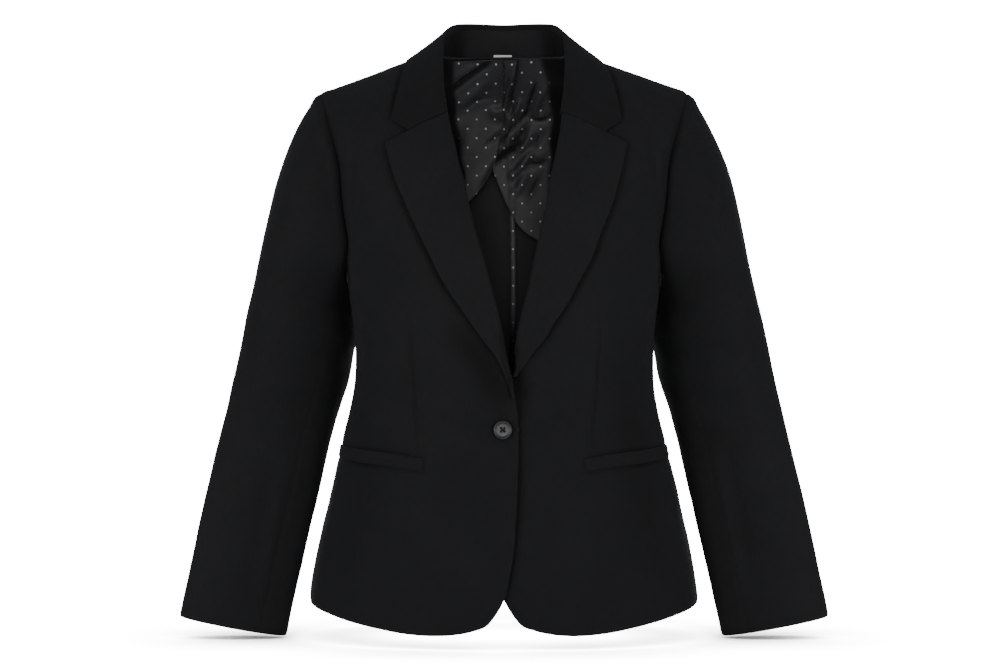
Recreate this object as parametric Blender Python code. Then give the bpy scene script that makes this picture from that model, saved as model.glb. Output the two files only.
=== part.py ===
"""A single breasted blazer on a hollow worn form, each sewn piece its own closed cloth wall.

All sizes are in millimetres and become metres in add_piece. X runs to the wearer's left, -Y is the
front and +Z is up. The origin lies midway between the shoulder seams, where the collar's edge crosses
them. A place on the body is an angle and a height: 0 degrees is the centre front, 90 the side and 180
the centre back. Every sewn piece is a grid of such places, and what lies on a panel is the panel's
own places moved out.
"""

import math

import bmesh
import bpy
import mathutils
import numpy as np
from mathutils.bvhtree import BVHTree

MM = 0.001

# ---- driving sizes -------------------------------------------------------------------------------
CLOTH = 2.0  # wall of the suiting, with its interlining
LINING = 1.0  # wall of the dotted lining
SEAM_GAP = 0.3  # between neighbouring pieces
ROUNDNESS = 2.3  # power of the body's rounded section; 2 is an ellipse
SHOULDER_TOP = 41.8  # height at which the two shoulder lines would meet
SHOULDER_FALL = 0.364  # fall of the shoulder line, 20 degrees
FRONT_ROLL = (112.0, 0.23)  # depth of the front roll-over below the ridge, and its loss towards the arm
BACK_ROLL = (80.0, 0.10)
LAP_RIGHT = 1.7  # the right front stands out by this at the lap
LAP_LEFT = 2.7  # the left front lies back by this
LAP_FADE = (26.0, 82.0)  # the lap fades out between these distances from the centre
LAP_TOP = (-300.0, -225.0)  # and between these heights
UNDERARM = -221.0
FOLDED = 0.45  # walls that meet more sharply than this keep their own normals, as under the arm

BODY_COLUMNS = ("height", "half_width", "front_depth", "back_depth")
BODY = (
    (60, 240, 44, 82),
    (15, 240, 58, 86),
    (0, 240, 62, 88),
    (-20, 240, 68, 93),
    (-40, 238, 76, 98),
    (-65, 225, 88, 104),
    (-85, 213, 97, 108),
    (-115, 200, 110, 113),
    (-150, 192, 121, 115),
    (-176, 185.5, 126, 114),
    (-207, 178, 128, 112),
    (-230, 176.8, 128, 109),
    (-260, 173.5, 126, 104),
    (-300, 168.6, 119, 99),
    (-330, 166.9, 114.5, 97),
    (-355, 167.7, 112, 96.5),
    (-389, 172.8, 112, 98.5),
    (-423, 181.2, 114, 103),
    (-457, 189, 117, 109),
    (-490, 197.4, 120, 113),
    (-524, 205.3, 123.5, 118),
    (-558, 212, 127, 121.5),
    (-592, 216.6, 130, 124),
    (-630, 218, 131.5, 125.5),
)

# The armhole, from the shoulder down the front, under the arm and up the back: height, angle.
ARMHOLE = (
    (-47, 56.5),
    (-65, 58.3),
    (-85, 61.3),
    (-115, 64.6),
    (-150, 68.3),
    (-176, 71.0),
    (-207, 75.5),
    (-221, 80.0),
    (-227, 90.0),
    (-221, 101.0),
    (-207, 106.5),
    (-190, 108.5),
    (-176, 109.3),
    (-150, 110.9),
    (-115, 112.2),
    (-85, 116.1),
    (-65, 119.7),
    (-47, 122.5),
)
SHOULDER_POINT = -33.0  # height of the shoulder seam's outer end

# Seams that run down the body, as angles at heights.
SIDE_SEAM_COLUMNS = ("height", "front", "back")
SIDE_SEAMS = (
    (-190, 74.0, 108.5),
    (-221, 78.5, 110.0),
    (-260, 86.0, 113.0),
    (-310, 92.5, 117.0),
    (-360, 95.0, 119.0),
    (-450, 96.0, 119.0),
    (-630, 96.0, 117.0),
)
# The centre-back seam wanders a little to the wearer's left.
CENTRE_BACK_COLUMNS = ("height", "across")
CENTRE_BACK = ((30, 0), (0, 1), (-60, 4), (-120, 8), (-170, 10), (-320, 10), (-450, 6), (-630, 2))

# Hem height by distance from the centre, at the front and at the back.
HEM_COLUMNS = ("across", "front", "back")
HEM = (
    (0, -590.4, -600),
    (6.4, -600.6, -600),
    (16.6, -614, -600),
    (33, -621.5, -600.5),
    (54, -625.8, -601),
    (79, -627.2, -601.5),
    (104, -626, -602),
    (137, -621.3, -602),
    (171, -614.8, -602),
    (194, -609.4, -602),
    (210, -605.2, -602),
    (218, -602, -602),
)

# Front edge, from the round of the cutaway up to the break, as height, across. Here and in the next
# tables across is towards the piece's own side.
EDGE = (
    (-598.0, 4.6),
    (-590.4, 0.3),
    (-582, -4.5),
    (-573, -8.6),
    (-560, -12),
    (-545, -14.0),
    (-520, -14.4),
)
# Roll lines above the break: height, across.
ROLL_RIGHT = (
    (-386, -14.4),
    (-374.7, -12.0),
    (-353.8, -8.8),
    (-335.7, -3.9),
    (-308.6, 2.1),
    (-279.2, 8.4),
    (-256.6, 14.6),
    (-221, 24.0),
    (-203, 29.5),
    (-172, 37.5),
    (-140, 44),
    (-118, 50),
    (-96, 54.5),
    (-80, 58.5),
    (-62, 62),
)
ROLL_LEFT = (
    (-380, -14.4),
    (-366, -4.0),
    (-353, 7.5),
    (-340, 11.6),
    (-316.8, 11.6),
    (-308.6, 12.9),
    (-286.7, 17.4),
    (-256.6, 25.0),
    (-221, 32.5),
    (-203, 36.5),
    (-166, 44.5),
    (-140, 48.5),
    (-118, 53.5),
    (-96, 58),
    (-80, 61),
    (-62, 63),
)
# Neck seam up to the shoulder, on the front and on the back: height, across.
FRONT_NECK = ((-62, 62.0), (-48, 64.3), (-30, 67.0), (-14, 69.6), (2, 73.0), (14.5, 75.0))
BACK_NECK = ((16.0, 0.0), (15.3, 19), (14.3, 37), (13.5, 54), (13.6, 67), (14.5, 75.0))

# Outer edge of each lapel, from its break up to its tip: height, across.
LAPEL_RIGHT = (
    (-372, -10.2),
    (-363.5, -6.6),
    (-348.5, -1.4),
    (-329, 8.2),
    (-306.3, 25.1),
    (-282, 41.5),
    (-264, 54),
    (-243, 67),
    (-216, 80),
    (-185, 95),
    (-160, 106),
    (-131, 118),
    (-95, 128),
)
LAPEL_LEFT = (
    (-349, 13.0),
    (-346.2, 15.0),
    (-330.8, 26.5),
    (-320, 34),
    (-308.6, 43.8),
    (-293.5, 52),
    (-276, 64),
    (-244, 81),
    (-222, 93),
    (-194, 103),
    (-161, 116),
    (-128, 125),
    (-95, 133),
)
NOTCH = {"right": 103.0, "left": 109.0}  # how far across the notch's inner corner lies
LAY_GAP = 0.7  # between a panel and what lies on it
LAPEL = {"thick": 1.6, "rise": 3.0}  # its wall, and how far its roll swells over the front
WELT = {"thick": 1.5, "height": 12.0, "end_angle": 91.0, "columns": 9, "rows": 2}

# The collar's fold, from the gorge to the centre back: across, depth, height.
FOLD = (
    (62.5, -86.3, -61.3),
    (65.5, -75.5, -44.0),
    (66.6, -58.5, -22.0),
    (67.3, -38.0, -2.0),
    (67.0, -16.0, 16.5),
    (65.3, 5.0, 33.3),
    (60.5, 25.0, 43.8),
    (52.5, 45.0, 50.3),
    (40.0, 60.0, 53.2),
    (21.5, 68.5, 53.8),
    (0.0, 71.0, 53.2),
)
# The collar's outer edge, matched to the fold, as places on the body; swell rounds the fall out.
FALL_EDGE_COLUMNS = ("across", "height", "face", "swell")
FALL_EDGE = (
    (122.5, -70.5, "front", 0.5),
    (119.5, -56.0, "front", 1.0),
    (116.5, -40.0, "front", 2.0),
    (113.5, -22.0, "front", 2.5),
    (109.8, -8.0, "front", 1.6),
    (107.5, 2.66, "front", 0.4),
    (101.0, 0.0, "back", 1.0),
    (88.0, -1.5, "back", 4.0),
    (62.0, 1.0, "back", 6.0),
    (32.0, 5.0, "back", 7.0),
    (0.0, 6.5, "back", 7.0),
)
STAND = {"thick": 1.5, "rows": 2, "above_seam": 0.6, "below_fold": 2.7}
FALL = {"thick": 1.6, "turn": 3.6}  # its wall and the width of its turn

# Sleeve silhouette: distance of the outer and the inner edge from the centre at each height.
SLEEVE_COLUMNS = ("height", "outer", "inner")
SLEEVE = (
    (-227, 276.5, 176.5),
    (-254, 282, 171.6),
    (-288, 290, 168.2),
    (-308, 294, 167.6),
    (-322, 297, 171.0),
    (-355, 304.5, 176.8),
    (-389, 312, 187),
    (-423, 320, 196),
    (-457, 328, 203.4),
    (-490, 335.8, 210.3),
    (-524, 343.5, 218),
    (-558, 350.5, 225.4),
    (-592, 357, 232.8),
    (-641, 367, 243.2),
)
SLEEVE_RINGS_COLUMNS = ("height", "half_depth", "shift", "sweep")
SLEEVE_RINGS = (
    (-264, 52, -3, 42),
    (-300, 50.5, -3, 46),
    (-340, 47, -2.5, 42),
    (-385, 42.5, -2.5, 27),
    (-430, 38.5, -4, 14),
    (-480, 34.5, -8, 5),
    (-530, 31, -12, 1),
    (-580, 28.5, -16, 0),
    (-628.5, 27, -20, 0),
)
SLEEVE_SLANT = 11.0  # outer end of each ring above its centre
CAP_RINGS = 6
CUFF_FRONT_SEAM = 123.0  # where the sleeve's front seam runs round the tube, from the outer edge
CUFF_BACK_SEAM = 250.0  # and where its back seam runs

# Pocket welts: top edge height by distance from the centre.
WELT_COLUMNS = ("across", "height")
WELT_TOP = ((85, -439.5), (110, -438.5), (140, -436), (165, -432.5), (186, -429))

BUTTON = {
    "across": -1.0,
    "height": -406.0,
    "shank": 1.1,
    "radius": 10.0,
    "thick": 3.2,
    "rim": 1.9,
    "bowl": 1.0,
}
BUTTON_HOLES = {"count": 4, "pitch": 2.3, "radius": 1.05}

# Free edges and seamed top of the back lining: across, height. Each starts past the centre.
LINING_RIGHT = (
    (-14.5, -2),
    (-2, -41),
    (5, -75),
    (12.9, -109),
    (23, -127),
    (36, -143),
    (58, -162),
    (92, -184),
    (128, -203),
    (155, -216),
)
LINING_LEFT = (
    (-17.5, -2),
    (-18, -40),
    (-15, -80),
    (-12.5, -113),
    (-5, -132),
    (7, -160),
    (20, -180),
    (46, -197),
    (92, -212),
    (148, -222),
)
LINING_TOP = ((-16.5, 10.5), (0, 11), (37, 9.5), (66, 8.5), (76, 9), (110, -3), (155, -19.5), (197, -37))
LINING_HANG = {"right": (3.4, 7.0), "left": (0.4, 2.4)}  # clearance from the back, at the seam and hanging
LINING_GRID = {"rows": 7, "columns": 9}

BINDING = {"width": 6.0, "thick": 0.9, "top": -104.0, "bottom": -596.0, "rows": 18}
LABEL = {"width": 22.0, "height": 5.0, "thick": 0.8, "rise": 1.5, "across": -1.5}

ROWS = {"lower": 12, "roll": 7, "neck": 5, "centre_back": 6, "under_arm": 4}
COLUMNS = {"front": 10, "back": 10, "lapel": 4, "fall": 5}
FRONT_CROWDING = 1.35  # draws the front's columns towards its edge, lower down
LAPEL_ROWS = 12
SLEEVE_LOWER_RINGS = 9

COLOURS = {  # base colour, roughness
    "suiting": ((0.0105, 0.0108, 0.0125), 0.85),
    "lining": ((0.030, 0.031, 0.036), 0.42),
    "button": ((0.045, 0.047, 0.052), 0.38),
    "label": ((0.62, 0.62, 0.62), 0.8),
}


# ---- curves and tables ---------------------------------------------------------------------------
def smooth(at, places, values):
    """Values of a smooth curve through a table's points, for rising or falling places."""
    places, values = np.asarray(places, float), np.asarray(values, float)
    if places[0] > places[-1]:
        places, values = places[::-1], values[::-1]
    at = np.clip(np.asarray(at, float), places[0], places[-1])
    step = np.diff(places)
    slope = np.diff(values) / step
    bend = np.empty_like(values)
    bend[1:-1] = (slope[:-1] * step[1:] + slope[1:] * step[:-1]) / (step[:-1] + step[1:])
    bend[0], bend[-1] = slope[0], slope[-1]
    i = np.clip(np.searchsorted(places, at) - 1, 0, len(step) - 1)
    t = (at - places[i]) / step[i]
    rise = values[i] * (1 + 2 * t) * (1 - t) ** 2 + values[i + 1] * t * t * (3 - 2 * t)
    return rise + step[i] * (bend[i] * t * (1 - t) ** 2 + bend[i + 1] * t * t * (t - 1))


def read(table, columns, name, at, key="height"):
    """The named column of a table, at places along its key column."""
    places, values = columns.index(key), columns.index(name)
    return smooth(at, [row[places] for row in table], [row[values] for row in table])


def along(points, count):
    """A polyline through the points, smoothed, as count + 1 places evenly spaced along it."""
    points = np.asarray(points, float)
    reach = np.concatenate([[0], np.cumsum(np.linalg.norm(np.diff(points, axis=0), axis=1))])
    fine = np.linspace(0, reach[-1], 40 * len(points))
    curve = np.stack([smooth(fine, reach, points[:, k]) for k in range(points.shape[1])], axis=1)
    travelled = np.concatenate([[0], np.cumsum(np.linalg.norm(np.diff(curve, axis=0), axis=1))])
    even = np.linspace(0, travelled[-1], count + 1)
    return np.stack([np.interp(even, travelled, curve[:, k]) for k in range(points.shape[1])], axis=1)


def unit(vectors):
    return vectors / np.linalg.norm(vectors, axis=-1, keepdims=True)


def ease(x, low, high):
    """0 up to low, 1 from high, and a soft step between."""
    t = np.clip((np.asarray(x, float) - low) / (high - low), 0, 1)
    return t * t * (3 - 2 * t)


# ---- the body form -------------------------------------------------------------------------------
def ridge(across):
    """Height of the shoulder line."""
    return SHOULDER_TOP - SHOULDER_FALL * np.abs(across)


def half_width(height):
    return read(BODY, BODY_COLUMNS, "half_width", height)


def angle_of(across, height):
    """Angle from the centre of the place that lies this far across."""
    share = np.clip(across / half_width(height), -1, 1)
    return np.degrees(np.arcsin(np.sign(share) * np.abs(share) ** (ROUNDNESS / 2)))


def across_of(angle, height):
    turn = np.sin(np.radians(angle))
    return half_width(height) * np.sign(turn) * np.abs(turn) ** (2 / ROUNDNESS)


def section_at(angle, height):
    """Which way the body faces there (-1 front, 1 back), its depth, and how far below the ridge it is."""
    front = np.cos(np.radians(angle)) > 0
    ahead = read(BODY, BODY_COLUMNS, "front_depth", height)
    behind = read(BODY, BODY_COLUMNS, "back_depth", height)
    across = across_of(angle, height)
    front_roll = FRONT_ROLL[0] - FRONT_ROLL[1] * np.abs(across)
    back_roll = BACK_ROLL[0] - BACK_ROLL[1] * np.abs(across)
    drop = np.clip((ridge(across) - height) / np.where(front, front_roll, back_roll), 0, 1)
    return np.where(front, -1, 1), np.where(front, ahead, behind), drop


def body_place(angle, height):
    """The body's point at an angle and a height; x is towards the piece's own side."""
    across = across_of(angle, height)
    swing = np.abs(np.cos(np.radians(angle))) ** (2 / ROUNDNESS)
    facing, depth, drop = section_at(angle, height)
    over = np.sqrt(1 - (1 - drop) ** 2)
    return np.stack(np.broadcast_arrays(across, facing * depth * swing * over, height), axis=-1)


def body_at(across, height, face):
    """The body's point that lies this far across, on its front or back."""
    angle = angle_of(across, height)
    return body_place(angle if face == "front" else 180 - angle, height)


def body_normal(angle, height):
    """The direction out of the body at an angle and a height."""
    across, wide = across_of(angle, height), half_width(height)
    swing = np.abs(np.cos(np.radians(angle))) ** (2 / ROUNDNESS)
    facing, depth, drop = section_at(angle, height)
    x = np.sign(across) * np.abs(across / wide) ** (ROUNDNESS - 1) / wide
    y = facing * swing ** (ROUNDNESS - 1) / depth
    level = np.sqrt(1 - (1 - drop) ** 2) / np.hypot(x, y)
    up = (1 - drop) / math.hypot(1, SHOULDER_FALL)
    lean = up * SHOULDER_FALL * np.sign(across)
    return unit(np.stack([level * x + lean, level * y, up + 0 * x], axis=-1))


def moved_out(across, height, face, distance, side=1):
    """Places on the body moved out of it; a front's lap is followed."""
    angle = angle_of(across, height)
    angle = angle if face == "front" else 180 - angle
    points = body_place(angle, height)
    if face == "front":
        points = lap(points, side)
    return points + body_normal(angle, height) * np.asarray(distance)[..., None]


def lap(points, side):
    """Moves a front out at the lap on the right and back on the left."""
    fade = (1 - ease(points[..., 0], *LAP_FADE)) * (1 - ease(points[..., 2], *LAP_TOP))
    moved = points.copy()
    moved[..., 1] -= fade * (LAP_RIGHT if side < 0 else -LAP_LEFT)
    return moved


def row_between(inner, outer, shares):
    """Places from an inner (angle, height) to an outer one, their heights even across the piece."""
    angle = inner[0] + (outer[0] - inner[0]) * shares
    height = inner[1] + (outer[1] - inner[1]) * shares
    for _ in range(4):
        across = across_of(angle, height)
        ends = across_of(inner[0], inner[1]), across_of(outer[0], outer[1])
        share = np.clip((across - ends[0]) / (ends[1] - ends[0]), 0, 1)
        height = inner[1] + (outer[1] - inner[1]) * share
    return angle, height


# ---- panels as grids of (angle, height) -----------------------------------------------------------
def armhole_places(first, last, count):
    """Places along part of the armhole; first and last count its rows, the shoulder's among them."""
    end = angle_of((SHOULDER_TOP - SHOULDER_POINT) / SHOULDER_FALL, SHOULDER_POINT)
    loop = np.array([(SHOULDER_POINT, end), *ARMHOLE, (SHOULDER_POINT, 180 - end)], float)
    scaled = np.stack([loop[:, 0], loop[:, 1] * 3.0], axis=1)  # an angle step is about 3 mm long
    part = along(scaled[first : last + 1], count)
    return np.stack([part[:, 1] / 3.0, part[:, 0]], axis=1)


UNDERARM_FRONT_ROW, UNDERARM_BACK_ROW, LAST_ARMHOLE_ROW = 8, 12, 19


def armhole():
    """The whole armhole as (angle, height): front part, under the arm, back part."""
    front = armhole_places(0, UNDERARM_FRONT_ROW, ROWS["roll"] + ROWS["neck"])
    under = armhole_places(UNDERARM_FRONT_ROW, UNDERARM_BACK_ROW, ROWS["under_arm"])
    back = armhole_places(UNDERARM_BACK_ROW, LAST_ARMHOLE_ROW, ROWS["centre_back"] + ROWS["neck"])
    return front, under, back


def seam_angle(name, height):
    return read(SIDE_SEAMS, SIDE_SEAM_COLUMNS, name, height)


def hem_height(angle):
    across = np.abs(across_of(angle, -605.0))
    front = read(HEM, HEM_COLUMNS, "front", across, key="across")
    back = read(HEM, HEM_COLUMNS, "back", across, key="across")
    return np.where(np.asarray(angle) < 90, front, back)


def roll_line(side):
    return ROLL_RIGHT if side < 0 else ROLL_LEFT


def front_edge(side, heights):
    """How far across the front's inner edge lies: cutaway, straight edge and roll line."""
    rows = EDGE + roll_line(side)
    return np.interp(heights, [r[0] for r in rows], [r[1] for r in rows])


def neck_angles(table, count):
    """The neck seam as count + 1 places (across, height)."""
    return along([(r[1], r[0]) for r in table], count)


def lower_rows(inner_of, outer_of, top_of, shares):
    """Rows from the hem up to a piece's top line; each column rises evenly at its share across."""
    rows = []
    for t in np.linspace(0, 1, ROWS["lower"] + 1):
        height = np.full(len(shares), -400.0)
        for _ in range(6):
            inner, outer = inner_of(height[0]), outer_of(height[-1])
            angle = inner + (outer - inner) * shares
            hem = hem_height(angle)
            height = hem + (top_of(shares) - hem) * t
        rows.append(np.stack([angle, height], axis=1))
    return rows


def front_places(side):
    """The front: hem and front edge below, roll line, neck, shoulder and armhole above."""
    loop = armhole()[0][::-1]
    even = np.linspace(0, 1, COLUMNS["front"] + 1)
    shares = even**FRONT_CROWDING
    lower = lower_rows(
        lambda h: angle_of(front_edge(side, h), h),
        lambda h: seam_angle("front", h),
        lambda share: np.full_like(share, UNDERARM),
        shares,
    )
    roll = [(r[1], r[0]) for r in roll_line(side) if r[0] >= UNDERARM]
    inner = np.concatenate([along(roll, ROWS["roll"]), neck_angles(FRONT_NECK, ROWS["neck"])[1:]])
    inner = np.stack([angle_of(inner[:, 0], inner[:, 1]), inner[:, 1]], axis=1)
    upper = []
    for k in range(1, len(loop)):
        rise = k / (len(loop) - 1)
        upper.append(np.stack(row_between(inner[k], loop[k], shares + (even - shares) * rise), axis=1))
    return np.array(lower + upper)


def side_places():
    """The side panel, its top cut by the underarm."""
    under = armhole()[1]
    shares = (under[:, 0] - under[0, 0]) / (under[-1, 0] - under[0, 0])
    return np.array(
        lower_rows(
            lambda h: seam_angle("front", h),
            lambda h: seam_angle("back", h),
            lambda share: under[:, 1],
            shares,
        )
    )


def back_places(side):
    """The back, from the centre-back seam to the side seam, armhole and shoulder."""
    loop = armhole()[2]
    top = loop[0][1]

    def centre(h):
        shift = read(CENTRE_BACK, CENTRE_BACK_COLUMNS, "across", h)
        return 180 - angle_of(side * shift, h)

    shares = np.linspace(0, 1, COLUMNS["back"] + 1)
    lower = lower_rows(
        centre, lambda h: seam_angle("back", h), lambda share: np.full_like(share, top), shares
    )
    heights = np.linspace(top, BACK_NECK[0][0], ROWS["centre_back"] + 1)
    neck = neck_angles(BACK_NECK, ROWS["neck"])[1:]
    inner = [(centre(h), h) for h in heights] + [(180 - angle_of(x, h), h) for x, h in neck]
    upper = [np.stack(row_between(inner[k], loop[k], shares), axis=1) for k in range(1, len(loop))]
    return np.array(lower + upper)


# ---- cloth walls ---------------------------------------------------------------------------------
def normals_of(grid, away_from):
    """Unit normals of a grid, on the side away from the given points."""
    down = np.gradient(grid, axis=0)
    across = np.gradient(grid, axis=1)
    normal = np.cross(across, down)
    length = np.linalg.norm(normal, axis=2, keepdims=True)
    normal = normal / np.maximum(length, 1e-9)
    if np.sum(normal * (grid - away_from)) < 0:
        normal = -normal
    return normal


def torso_core(grid):
    """Points on the body's own axis, beside each point of a grid."""
    core = grid.copy()
    core[..., 0] *= 0.3
    core[..., 1] = 0
    core[..., 2] = np.minimum(core[..., 2] - 25, -60)
    return core


def trimmed(grid, sides, gap=SEAM_GAP / 2):
    """Draws a grid's named sides back by half a seam gap."""
    grid = grid.copy()
    pairs = {"bottom": (0, 1), "top": (-1, -2)}
    for name in sides:
        if name in pairs:
            edge, inside = pairs[name]
            step = grid[inside] - grid[edge]
            grid[edge] += gap * step / np.maximum(np.linalg.norm(step, axis=1, keepdims=True), 1e-6)
        else:
            edge, inside = (0, 1) if name == "inner" else (-1, -2)
            step = grid[:, inside] - grid[:, edge]
            grid[:, edge] += gap * step / np.maximum(np.linalg.norm(step, axis=1, keepdims=True), 1e-6)
    return grid


def wall(outer, inner, closed=False):
    """Vertices and faces of a closed wall between two grids; closed joins the last column to the first."""
    rows, columns = outer.shape[:2]
    points = np.concatenate([outer.reshape(-1, 3), inner.reshape(-1, 3)])
    skin = rows * columns
    faces = []

    def quad(a, b, c, d):
        if np.linalg.norm(points[a] - points[c]) <= np.linalg.norm(points[b] - points[d]):
            faces.extend([(a, b, c), (a, c, d)])
        else:
            faces.extend([(a, b, d), (b, c, d)])

    last = columns if closed else columns - 1
    for r in range(rows - 1):
        for c in range(last):
            n = (c + 1) % columns
            a, b, d, e = r * columns + c, r * columns + n, (r + 1) * columns + n, (r + 1) * columns + c
            quad(a, b, d, e)
            quad(skin + e, skin + d, skin + b, skin + a)
    for c in range(last):
        n = (c + 1) % columns
        top = (rows - 1) * columns
        quad(skin + c, skin + n, n, c)
        quad(top + c, top + n, skin + top + n, skin + top + c)
    if not closed:
        for r in range(rows - 1):
            a, b = r * columns, (r + 1) * columns
            quad(a, b, skin + b, skin + a)
            a, b = a + columns - 1, b + columns - 1
            quad(skin + a, skin + b, b, a)
    return points, faces


def search_tree(walls):
    """The faces of several walls, for finding where a line meets them."""
    points, faces = [], []
    for wall_points, wall_faces in walls:
        start = sum(len(part) for part in points)
        points.append(wall_points)
        faces += [tuple(k + start for k in face) for face in wall_faces]
    return BVHTree.FromPolygons(np.concatenate(points).tolist(), faces)


def material_for(piece, kind):
    colour, roughness = COLOURS[kind]
    material = bpy.data.materials.new(piece)
    material.use_nodes = True
    shader = material.node_tree.nodes["Principled BSDF"]
    shader.inputs["Base Color"].default_value = (*colour, 1)
    shader.inputs["Roughness"].default_value = roughness
    shader.inputs["Metallic"].default_value = 0
    return material


def add_piece(name, points, faces, kind):
    """Makes one named object."""
    mesh = bpy.data.meshes.new(name)
    mesh.from_pydata((np.array(points, float) * MM).tolist(), [], faces)
    work = bmesh.new()
    work.from_mesh(mesh)
    bmesh.ops.recalc_face_normals(work, faces=work.faces)
    if work.calc_volume(signed=True) < 0:
        bmesh.ops.reverse_faces(work, faces=work.faces)
    work.to_mesh(mesh)
    work.free()
    mesh.shade_smooth()
    mesh.set_sharp_from_angle(angle=math.radians(40))
    mesh.materials.append(material_for(name, kind))
    piece = bpy.data.objects.new(name, mesh)
    bpy.context.scene.collection.objects.link(piece)
    return piece


def mirrored(points, side):
    """Moves points made for the wearer's left to their own side."""
    return points * [side, 1, 1]


def side_name(side):
    return "right" if side < 0 else "left"


# ---- sleeves -------------------------------------------------------------------------------------
def sleeve_ring(height, turns):
    """A ring round the sleeve's tube; turns are angles from its outer edge, + to the front."""
    outer = read(SLEEVE, SLEEVE_COLUMNS, "outer", height + SLEEVE_SLANT)
    inner = read(SLEEVE, SLEEVE_COLUMNS, "inner", height - SLEEVE_SLANT)
    depth = read(SLEEVE_RINGS, SLEEVE_RINGS_COLUMNS, "half_depth", height)
    shift = read(SLEEVE_RINGS, SLEEVE_RINGS_COLUMNS, "shift", height)
    sweep = read(SLEEVE_RINGS, SLEEVE_RINGS_COLUMNS, "sweep", height)
    middle, reach = (outer + inner) / 2, (outer - inner) / 2
    turn = np.radians(turns)
    out = np.cos(turn)
    y = shift - depth * np.sin(turn) + sweep * ((1 - out) / 2) ** 2
    return np.stack([middle + reach * out, y, height + SLEEVE_SLANT * out], axis=1)


def sleeve_turns(loop_points, first, last):
    """The tube angle that each armhole sample runs down to."""
    steps = np.linalg.norm(np.diff(loop_points, axis=0), axis=1)
    reach = np.concatenate([[0], np.cumsum(steps)])
    marks = [0, reach[first], reach[last], reach[-1]]
    return np.interp(reach, marks, [0, CUFF_FRONT_SEAM, CUFF_BACK_SEAM, 360])


def sleeve_grid(loop_points):
    """Rings from the armhole down to the cuff, one column for each armhole sample."""
    front_seam = ROWS["roll"] + ROWS["neck"] - 2
    back_seam = ROWS["roll"] + ROWS["neck"] + ROWS["under_arm"] + 2
    turns = sleeve_turns(loop_points, front_seam, back_seam)
    start = loop_points
    first_ring = sleeve_ring(SLEEVE_RINGS[0][0], turns)
    second_ring = sleeve_ring(SLEEVE_RINGS[0][0] - 20, turns)
    run = second_ring - first_ring
    run /= np.linalg.norm(run, axis=1, keepdims=True)
    top = (1 + np.cos(np.radians(turns))) / 2  # 1 over the shoulder, 0 under the arm
    fore = np.sin(np.radians(turns))
    leave = np.stack([0.25 + 0.55 * top, -0.45 * fore, -1.0 + 0.1 * top], axis=1)
    leave /= np.linalg.norm(leave, axis=1, keepdims=True)
    span = np.linalg.norm(first_ring - start, axis=1, keepdims=True)
    rows = []
    for t in np.linspace(0, 1, CAP_RINGS + 1):
        a = start + leave * span * 0.34
        b = first_ring - run * span * 0.36
        rows.append(
            (1 - t) ** 3 * start + 3 * t * (1 - t) ** 2 * a + 3 * t * t * (1 - t) * b + t**3 * first_ring
        )
    heights = np.linspace(SLEEVE_RINGS[0][0], SLEEVE_RINGS[-1][0], SLEEVE_LOWER_RINGS + 1)[1:]
    rows += [sleeve_ring(h, turns) for h in heights]
    return np.array(rows), front_seam, back_seam


def sleeve_core(grid):
    """The middle of each ring, for telling in from out."""
    return np.repeat(grid.mean(axis=1, keepdims=True), grid.shape[1], axis=1)


# ---- shared seam normals -------------------------------------------------------------------------
def share_normals(grids, normals, reach=0.05):
    """Gives pieces that meet at a point the same normal there, so their walls meet squarely."""
    rims = []
    for grid, normal in zip(grids, normals):
        rows, columns = grid.shape[:2]
        for r in range(rows):
            for c in range(columns):
                if r in (0, rows - 1) or c in (0, columns - 1):
                    rims.append((grid[r, c], normal, r, c))
    points = np.array([rim[0] for rim in rims])
    own = np.array([normal[r, c] for _, normal, r, c in rims])
    shared = []
    for point, facing in zip(points, own):
        meeting = (np.linalg.norm(points - point, axis=1) < reach) & (own @ facing > FOLDED)
        total = own[meeting].sum(axis=0)
        shared.append(total / np.linalg.norm(total))
    for (_, normal, r, c), value in zip(rims, shared):
        normal[r, c] = value


def sleeve_parts(side):
    """The upper and under sleeve's grids and normals, cut from one tube."""
    front, under, back = armhole()
    loop = np.concatenate([front, under[1:], back[1:]])
    tube, front_seam, back_seam = sleeve_grid(body_place(loop[:, 0], loop[:, 1]))
    tube = mirrored(tube, side)
    normal = normals_of(tube, sleeve_core(tube))
    normal[:, 0] = normal[:, -1] = normal[:, 0] + normal[:, -1]
    normal /= np.linalg.norm(normal, axis=2, keepdims=True)
    upper = list(range(back_seam, tube.shape[1] - 1)) + list(range(front_seam + 1))
    parts = {"upper": upper, "under": list(range(front_seam, back_seam + 1))}
    return {label: (tube[:, columns], normal[:, columns]) for label, columns in parts.items()}


def body_panels(side):
    """The front, side and back of one half, as grids."""
    places = {"front": front_places(side), "side": side_places(), "back": back_places(side)}
    grids = {label: body_place(place[..., 0], place[..., 1]) for label, place in places.items()}
    grids["front"] = lap(grids["front"], side)
    return {label: mirrored(grid, side) for label, grid in grids.items()}


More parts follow.
